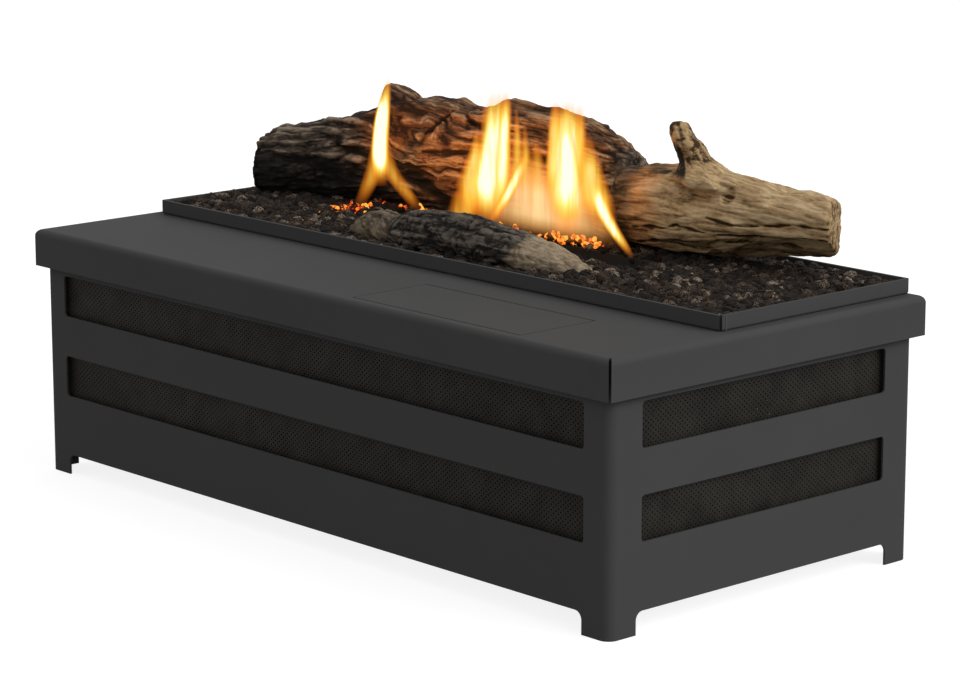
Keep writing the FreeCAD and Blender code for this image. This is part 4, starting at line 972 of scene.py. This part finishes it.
def small_bark(place, up, normal):
    """A short lump of rough bark with its fibres on the slant."""
    wide, fine = grooves(place, place.z + SMALL_SLANT * place.x, SMALL_GROOVES)
    cut = {"wide": wide, "fine": fine, "crumbs": lumps(place, CRUMB_SIZE)}
    return weighed(SMALL_DEPTHS, **cut), weighed(SMALL_TONES, **cut), SMALL_RUDDY, SMALL_CHAR


def rear_outline(place, normal):
    """The blunt left end stands further out, the crown falls to the right, and the saddle is shallow."""
    x, _, z = place
    end = REAR_END_REACH * (1 - ease(x, -286, -232))
    top = (1 - ease(x, -282, -232)) * ease(z, 218, 256)
    end += REAR_END_TOP_REACH * top
    crown = ease(z, 276, 292) * (1 - ease(x, -140, -120))
    fall = CROWN_FALL * crown * ease(x, -192, -158)
    saddle = ease(1 - abs(x - SADDLE_MIDDLE) / SADDLE_HALF, 0, 0.8)
    lift = SADDLE_LIFT * saddle * ease(z, 256, 276)
    return Vector((-end, 0.0, lift - fall))


def right_outline(place, normal):
    """The underside rounds up towards the front, the top falls to the right, and the branch is slim."""
    x, y, z = place
    front = 1 - ease(y, 102, 138)
    low = 1 - ease(z, 200, 236)
    lift = (UNDERSIDE_LIFT + UNDERSIDE_LIFT_MORE * ease(x, 150, 235)) * front * low
    fall = TOP_FALL * ease(x, 195, 232) * ease(z, 238, 262)
    share = (z - BRANCH_FOOT[2]) / (BRANCH_TIP[2] - BRANCH_FOOT[2])
    axis = Vector(BRANCH_FOOT).lerp(Vector(BRANCH_TIP), share)
    slim = BRANCH_SLIM - BRANCH_SLIM_LESS * ease(z, 281, 296)
    across = Vector((x - axis.x, y - axis.y, 0.0)) * -slim
    across = (across + Vector((BRANCH_SHIFT, 0.0, 0.0))) * ease(z, 260, 273)
    slant = ease(x - axis.x, 0, 9) * ease(z, 284, 297)
    shorten = BRANCH_SHORTEN * ease(z, 270, 299) + BRANCH_SLANT * slant
    off_x = (x - BELOW_BRANCH[0]) / BELOW_BRANCH_HALF[0]
    off_z = (z - BELOW_BRANCH[1]) / BELOW_BRANCH_HALF[1]
    below = max(0.0, 1 - math.hypot(off_x, off_z)) * ease(-y, -96, -84)
    return across + Vector((0.0, BELOW_BRANCH_SINK * below, lift - fall - shorten))


def swollen_foot(rise, reach):
    """The outline of a log whose lower front swells towards the tray's rim."""
    def outline(place, normal):
        low = 1 - ease(place.z, *rise)
        return Vector((0.0, -reach * low * ease(-normal.y, 0, 0.6), 0.0))

    return outline


def carved_log(node, bark, outline, finish):
    """A log with its outline corrected and its bark cut into the blank. How deep, ruddy and burnt its points
    are is kept for its finish, and these marks also carry painted shade and painted fire light."""
    log = log_blank(node)
    mesh = log.data
    places = [point.co / MM for point in mesh.vertices]
    normals = [point.normal.copy() for point in mesh.vertices]
    crest = crest_line(places, CREST_CAP[node])
    # groove and char also hold painted shade, ruddy also painted fire light
    marks = [mesh.attributes.new(name, "FLOAT", "POINT") for name in ("groove", "ruddy", "char")]
    for i, (place, normal) in enumerate(zip(places, normals)):
        moved = place + outline(place, normal)
        up = (moved.z - LOG_FOOT) / (crest(place.x) - LOG_FOOT)
        depth, *levels = bark(moved, up, normal)
        for mark, level in zip(marks, levels):
            mark.data[i].value = level
        mesh.vertices[i].co = (moved - normal * (depth * (1 - LOG_END_CALM * normal.x ** 2) - LOG_SWELL)) * MM
    alone(log)
    bpy.ops.object.shade_smooth()
    paint(log, finish)
    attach(log, node)
    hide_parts(node)
    return log


# Lava chips and embers


def lump_shapes(count):
    """A few different lumps, each a cube cut once, blown up towards a ball and made uneven: points, faces."""
    shapes = []
    for number in range(count):
        bpy.ops.mesh.primitive_cube_add(size=LUMP_SIDE)
        lump = named("lump")
        with editing(lump):
            bpy.ops.mesh.subdivide(number_cuts=1)
            bpy.ops.transform.tosphere(value=LUMP_ROUND)
            bpy.ops.transform.vertex_random(offset=LUMP_UNEVEN, seed=number)
        corners = [point.co.copy() for point in lump.data.vertices]
        shapes.append((corners, [tuple(face.vertices) for face in lump.data.polygons]))
        bpy.data.objects.remove(lump)
    return shapes


def scattered(name, shapes, spots, squash, draw, finish):
    """One piece of many turned, squashed and sized copies of lumps, each at its spot, with its own tint."""
    points = []
    faces = []
    tints = []
    for middle, size in spots:
        shape, corners = draw.choice(shapes)
        turn = Matrix.Rotation(draw.uniform(0, math.tau), 3, Vector((draw.gauss(0, 1), draw.gauss(0, 1), 1)))
        stretch = Vector([draw.uniform(*limits) for limits in squash])
        first = len(points)
        points += [(middle + turn @ (corner * stretch) * size) * MM for corner in shape]
        faces += [tuple(first + i for i in face) for face in corners]
        tints += [draw.random()] * len(shape)
    mesh = bpy.data.meshes.new(name)
    mesh.from_pydata(points, [], faces)
    mesh.attributes.new("tint", "FLOAT", "POINT").data.foreach_set("value", tints)
    piece = linked(name, mesh)
    paint(piece, finish)
    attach(piece, "casing")
    return piece


def log_above(logs, x, y):
    """The height of a log's underside over a spot on the chips, or None, in millimetres."""
    start = Vector((x, y, BELOW_LOGS)) * MM
    for log in logs:
        hit, place, _, _ = log.ray_cast(start, Vector((0, 0, 1)))
        if hit:
            return place.z / MM
    return None


def chip_spots(logs, draw):
    """A full layer of chips on the tray's floor and a looser one on it that rises from the rim to the middle,
    clear of the burner's mouth, and smaller chips where a log leaves little room."""
    low, high = (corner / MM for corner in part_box("chip_bed"))
    mouth_low, mouth_high = (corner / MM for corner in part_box("burner_mouth"))
    spots = []
    sheltered = []
    for layer in range(2):
        for row in range(int((high.y - low.y) / CHIP_PITCH) + 1):
            for column in range(int((high.x - low.x) / CHIP_PITCH) + 1):
                size = draw.uniform(CHIP_LEAST, CHIP_MOST)
                stagger = 0.5 * ((row + layer) % 2)
                x = low.x + (column + stagger) * CHIP_PITCH + draw.uniform(-CHIP_SHIFT, CHIP_SHIFT)
                y = low.y + (row + 0.5 * layer) * CHIP_PITCH + draw.uniform(-CHIP_SHIFT, CHIP_SHIFT)
                x = min(max(x, low.x + size), high.x - size)
                y = min(max(y, low.y + size), high.y - size)
                from_rim = min(x - low.x, high.x - x, y - low.y, high.y - y)
                heap = HEAP_AT_RIM + (HEAP_MIDDLE - HEAP_AT_RIM) * ease(from_rim, 0, HEAP_RUN)
                at_left = (1 - ease(x - low.x, 0, HEAP_RUN)) * ease(y, *LEFT_HEAP)
                heap += (HEAP_AT_LEFT - heap) * at_left
                z = low.z + size * CHIP_BEDDED
                if layer:
                    z = heap - size * draw.uniform(*CHIP_SUNK)
                in_mouth_x = mouth_low.x + MOUTH_FLANGE - size < x < mouth_high.x - MOUTH_FLANGE + size
                in_mouth_y = mouth_low.y + MOUTH_FLANGE - size < y < mouth_high.y - MOUTH_FLANGE + size
                roof = log_above(logs, x, y)
                if in_mouth_x and in_mouth_y:
                    continue
                if roof is None or z + size * CHIP_CLEAR <= roof:
                    spots.append((Vector((x, y, z)), size))
                elif not layer:
                    size = min(size, (roof - low.z) * UNDER_LOG)
                    sheltered.append((Vector((x, y, low.z + size * CHIP_BEDDED)), size))
    return spots + sheltered


def ember_spots(draw):
    """Crumbs of glowing fibre that lie on the chips beside the flame."""
    spots = []
    for (x, y), (reach_x, reach_y), count in EMBER_PATCHES:
        for _ in range(count):
            spot_x = x + draw.gauss(0, reach_x / 2)
            spot_y = y + draw.gauss(0, reach_y / 2)
            spot = Vector((spot_x, spot_y, draw.uniform(*EMBER_HEIGHTS)))
            spots.append((spot, draw.uniform(EMBER_LEAST, EMBER_MOST)))
    return spots


# Flames


def between_stations(stations, share):
    """A tongue's height, middle and half width at a share of its length, on a curve through its stations."""
    last = len(stations) - 1
    before = min(int(share * last), last - 1)
    t = share * last - before
    picked = [stations[min(max(before + i, 0), last)] for i in (-1, 0, 1, 2)]
    return [
        b + 0.5 * t * (c - a + t * (2 * a - 5 * b + 4 * c - d + t * (3 * (b - c) + d - a)))
        for a, b, c, d in zip(*picked)
    ]


def half_depth(stations):
    """A tongue's greatest half width."""
    return max(half_width for _, _, half_width in stations)


def flame_sheet(heat, stations, crossing):
    """One curved sheet of a tongue of flame, or the one that crosses it."""
    bpy.ops.mesh.primitive_grid_add(x_subdivisions=FLAME_COLUMNS, y_subdivisions=FLAME_ROWS, size=1)
    sheet = named("flame_sheet")
    mouth_low, mouth_high = (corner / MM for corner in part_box("burner_mouth"))
    burner_y = (mouth_low.y + mouth_high.y) / 2
    broad = half_depth(stations) > mouth_high.y - mouth_low.y
    turn = Matrix.Rotation((0.0 if broad else FLAME_TURN) + (math.pi / 2 if crossing else 0.0), 3, "Z")
    reach = (mouth_high.y - mouth_low.y) / 2 if crossing else half_depth(stations)
    stand = sum(middle for _, middle, _ in stations) / len(stations)
    seen = 1.0 if broad else math.cos(FLAME_TURN)
    for point in sheet.data.vertices:
        across = point.co.x * 2
        z, middle, half_width = between_stations(stations, point.co.y + 0.5)
        lean = 0.0 if crossing else (middle - stand) * seen
        spot = Vector((across * min(half_width, reach) + lean, FLAME_SPREAD * (FLAME_MEAN - heat), 0.0))
        point.co = (turn @ spot + Vector((stand, burner_y, z))) * MM
    burn = heat * FLAME_CROSS_HEAT if crossing else heat
    marks = sheet.data.attributes.new("burn", "FLOAT", "POINT").data
    marks.foreach_set("value", [burn] * len(marks))
    return sheet


def flames(name, tongues, finish):
    """All the tongues as one piece, the broader ones of two sheets that cross."""
    sheets = [flame_sheet(*tongue, False) for tongue in tongues]
    crossed = [tongue for tongue in tongues if FLAME_CROSSED[0] < half_depth(tongue[1]) < FLAME_CROSSED[1]]
    sheets += [flame_sheet(*tongue, True) for tongue in crossed]
    bpy.ops.object.select_all(action="DESELECT")
    for sheet in sheets:
        sheet.select_set(True)
    bpy.context.view_layer.objects.active = sheets[0]
    if len(sheets) > 1:
        bpy.ops.object.join()
    fire = named(name)
    bpy.ops.object.shade_smooth()
    paint(fire, finish)
    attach(fire, "casing")
    return fire


# Stage


def camera():
    """The camera at the photograph's view."""
    data = bpy.data.cameras.new("camera")
    data.sensor_width = CAMERA_SENSOR
    data.lens = CAMERA_LENS
    data.clip_end = CAMERA_REACH
    made = linked("camera", data)
    right = Vector(CAMERA_RIGHT).normalized()
    up = Vector(CAMERA_UP)
    back = right.cross(up).normalized()
    up = back.cross(right)
    turn = Matrix((right, up, back)).transposed().to_4x4()
    made.matrix_world = Matrix.Translation(CAMERA_PLACE) @ turn
    bpy.context.scene.camera = made


def seen_straight(tree):
    """1 where a ray comes from the camera, a glossy surface or through glass, and 0 elsewhere."""
    path = tree.nodes.new("ShaderNodeLightPath")
    total = None
    for name in ("Is Camera Ray", "Is Glossy Ray", "Is Transmission Ray"):
        if total is None:
            total = path.outputs[name]
            continue
        both = tree.nodes.new("ShaderNodeMath")
        both.operation = "MAXIMUM"
        tree.links.new(total, both.inputs[0])
        tree.links.new(path.outputs[name], both.inputs[1])
        total = both.outputs[0]
    return total


def studio():
    """A white world that lights softly, one broad lamp from the upper right, and a pale floor."""
    world = bpy.data.worlds.new("studio")
    bpy.context.scene.world = world
    world.use_nodes = True
    tree = world.node_tree
    background = tree.nodes["Background"]
    background.inputs["Color"].default_value = (1, 1, 1, 1)
    seen = seen_straight(tree)
    strength = tree.nodes.new("ShaderNodeMapRange")
    tree.links.new(seen, strength.inputs["Value"])
    strength.inputs["To Min"].default_value = WORLD_STRENGTH
    tree.links.new(strength.outputs[0], background.inputs["Strength"])
    lamp = bpy.data.lights.new("broad_lamp", "SUN")
    lamp.energy = SUN_STRENGTH
    lamp.angle = SUN_ANGLE
    aimed("broad_lamp", lamp, SUN_DIRECTION, "Z")
    bpy.ops.mesh.primitive_plane_add(size=2 * FLOOR_HALF)
    floor = named("floor")
    finish = Finish("floor", {"Base Color": [FLOOR_TONE] * 3, "Roughness": 1.0, "Specular IOR Level": 0.0})
    seen = Value(finish, seen_straight(finish.tree))
    finish.give({"Emission Color": seen * FLOOR_GLOW, "Emission Strength": 1.0})
    paint(floor, finish.material)


def fire_glow():
    """Small warm lamps in the flames, which light the logs and chips as the fire does."""
    for place, power in FIRE_LAMPS:
        lamp = bpy.data.lights.new("fire_glow", "SPOT")
        lamp.color = FIRE_COLOUR
        lamp.energy = power
        lamp.shadow_soft_size = FIRE_RADIUS
        lamp.spot_size = FIRE_CONE
        lamp.spot_blend = 1.0
        aimed("fire_glow", lamp, FIRE_AIM, "-Z").location = place


# Assembly


SLOT_FINISHES = {
    "powder_coat": powder_coat(),
    "mesh_metal": mesh_coat(),
    "galvanised_sheet": galvanised("galvanised_sheet", (0.34, 0.35, 0.36), (0.52, 0.53, 0.54)),
    "stainless": brushed_steel("stainless", (0.46, 0.46, 0.45), (0.62, 0.62, 0.6)),
    "zinc_screw": brushed_steel("zinc_screw", (0.55, 0.55, 0.53), (0.75, 0.75, 0.73), roughness=0.25),
    "brass_fitting": brass(),
    "cap_plastic": moulded_black("cap_plastic", 0.03, 0.5),
    "knob_black": moulded_black("knob_black", 0.024, 0.42),
    "seal_rubber": moulded_black("seal_rubber", 0.035, 0.75),
    "wick_fibre": fibre_wick(),
}
for subpart in frame["record"]["subparts"]:
    slot = subpart["material_slot"]
    if slot in SLOT_FINISHES:
        paint(frame["nodes"][subpart["node"]], SLOT_FINISHES[slot])
TANK_SHEET = galvanised("tank_sheet", (0.74, 0.74, 0.72), (0.88, 0.88, 0.86))
for node in ("tank_pan", "tank_cover"):
    paint(frame["nodes"][node], TANK_SHEET)
for wall in ("front", "rear", "left", "right"):
    paint(expanded_mesh(wall), SLOT_FINISHES["mesh_metal"])
# Black beads in the tray's corners, as painted shade for the gaps of the joints
for side in ("left", "right"):
    paint(corner_shade_bead(side), SLOT_FINISHES["seal_rubber"])
# Sooty paint for char, also laid on as painted shade
BURNT_AND_SHADE = ((0.004, 0.0032, 0.0027), (0.0165, 0.0135, 0.011), (0.135, 0.112, 0.09))
BARK_LOG = log_finish(
    "ceramic_log_dark",
    ((0.010, 0.007, 0.005), (0.075, 0.054, 0.038), (0.33, 0.26, 0.19)),
    ((0.016, 0.008, 0.004), (0.11, 0.052, 0.024), (0.38, 0.25, 0.145)),
    BURNT_AND_SHADE,
)
TAN_LOG = log_finish(
    "ceramic_log_tan",
    ((0.040, 0.022, 0.009), (0.36, 0.235, 0.115), (0.60, 0.445, 0.265)),
    ((0.040, 0.019, 0.008), (0.29, 0.165, 0.078), (0.52, 0.36, 0.20)),
    BURNT_AND_SHADE,
)
CHARRED_LOG = log_finish(
    "ceramic_log_charred",
    ((0.030, 0.021, 0.012), (0.145, 0.106, 0.066), (0.33, 0.262, 0.178)),
    ((0.018, 0.011, 0.006), (0.085, 0.058, 0.034), (0.23, 0.175, 0.112)),
    BURNT_AND_SHADE,
)
noise.seed_set(BARK_SEED)
logs = [
    carved_log("rear_log", rear_bark, rear_outline, BARK_LOG),
    carved_log("right_log", right_bark, right_outline, TAN_LOG),
    carved_log("front_log", front_bark, swollen_foot(*FRONT_FOOT), CHARRED_LOG),
    carved_log("small_log", small_bark, swollen_foot(*SMALL_FOOT), CHARRED_LOG),
]
chip_draw = random.Random(CHIP_SEED)
lumps_of_lava = lump_shapes(CHIP_SHAPES)
chips = scattered("lava_chips", lumps_of_lava, chip_spots(logs, chip_draw), CHIP_SQUASH, chip_draw, lava())
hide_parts("chip_bed", "loose_chips")
ember_draw = random.Random(EMBER_SEED)
scattered("embers", lumps_of_lava, ember_spots(ember_draw), EMBER_SQUASH, ember_draw, glowing_ember())
flames("flames", TONGUES, flame("flame", TONGUE_GLOW, TONGUE_STREAKED))
flames("flame_haze", HAZE, flame("flame_haze", HAZE_GLOW, HAZE_STREAKED))
fire_glow()
camera()
studio()
bpy.context.scene.view_settings.view_transform = "Standard"
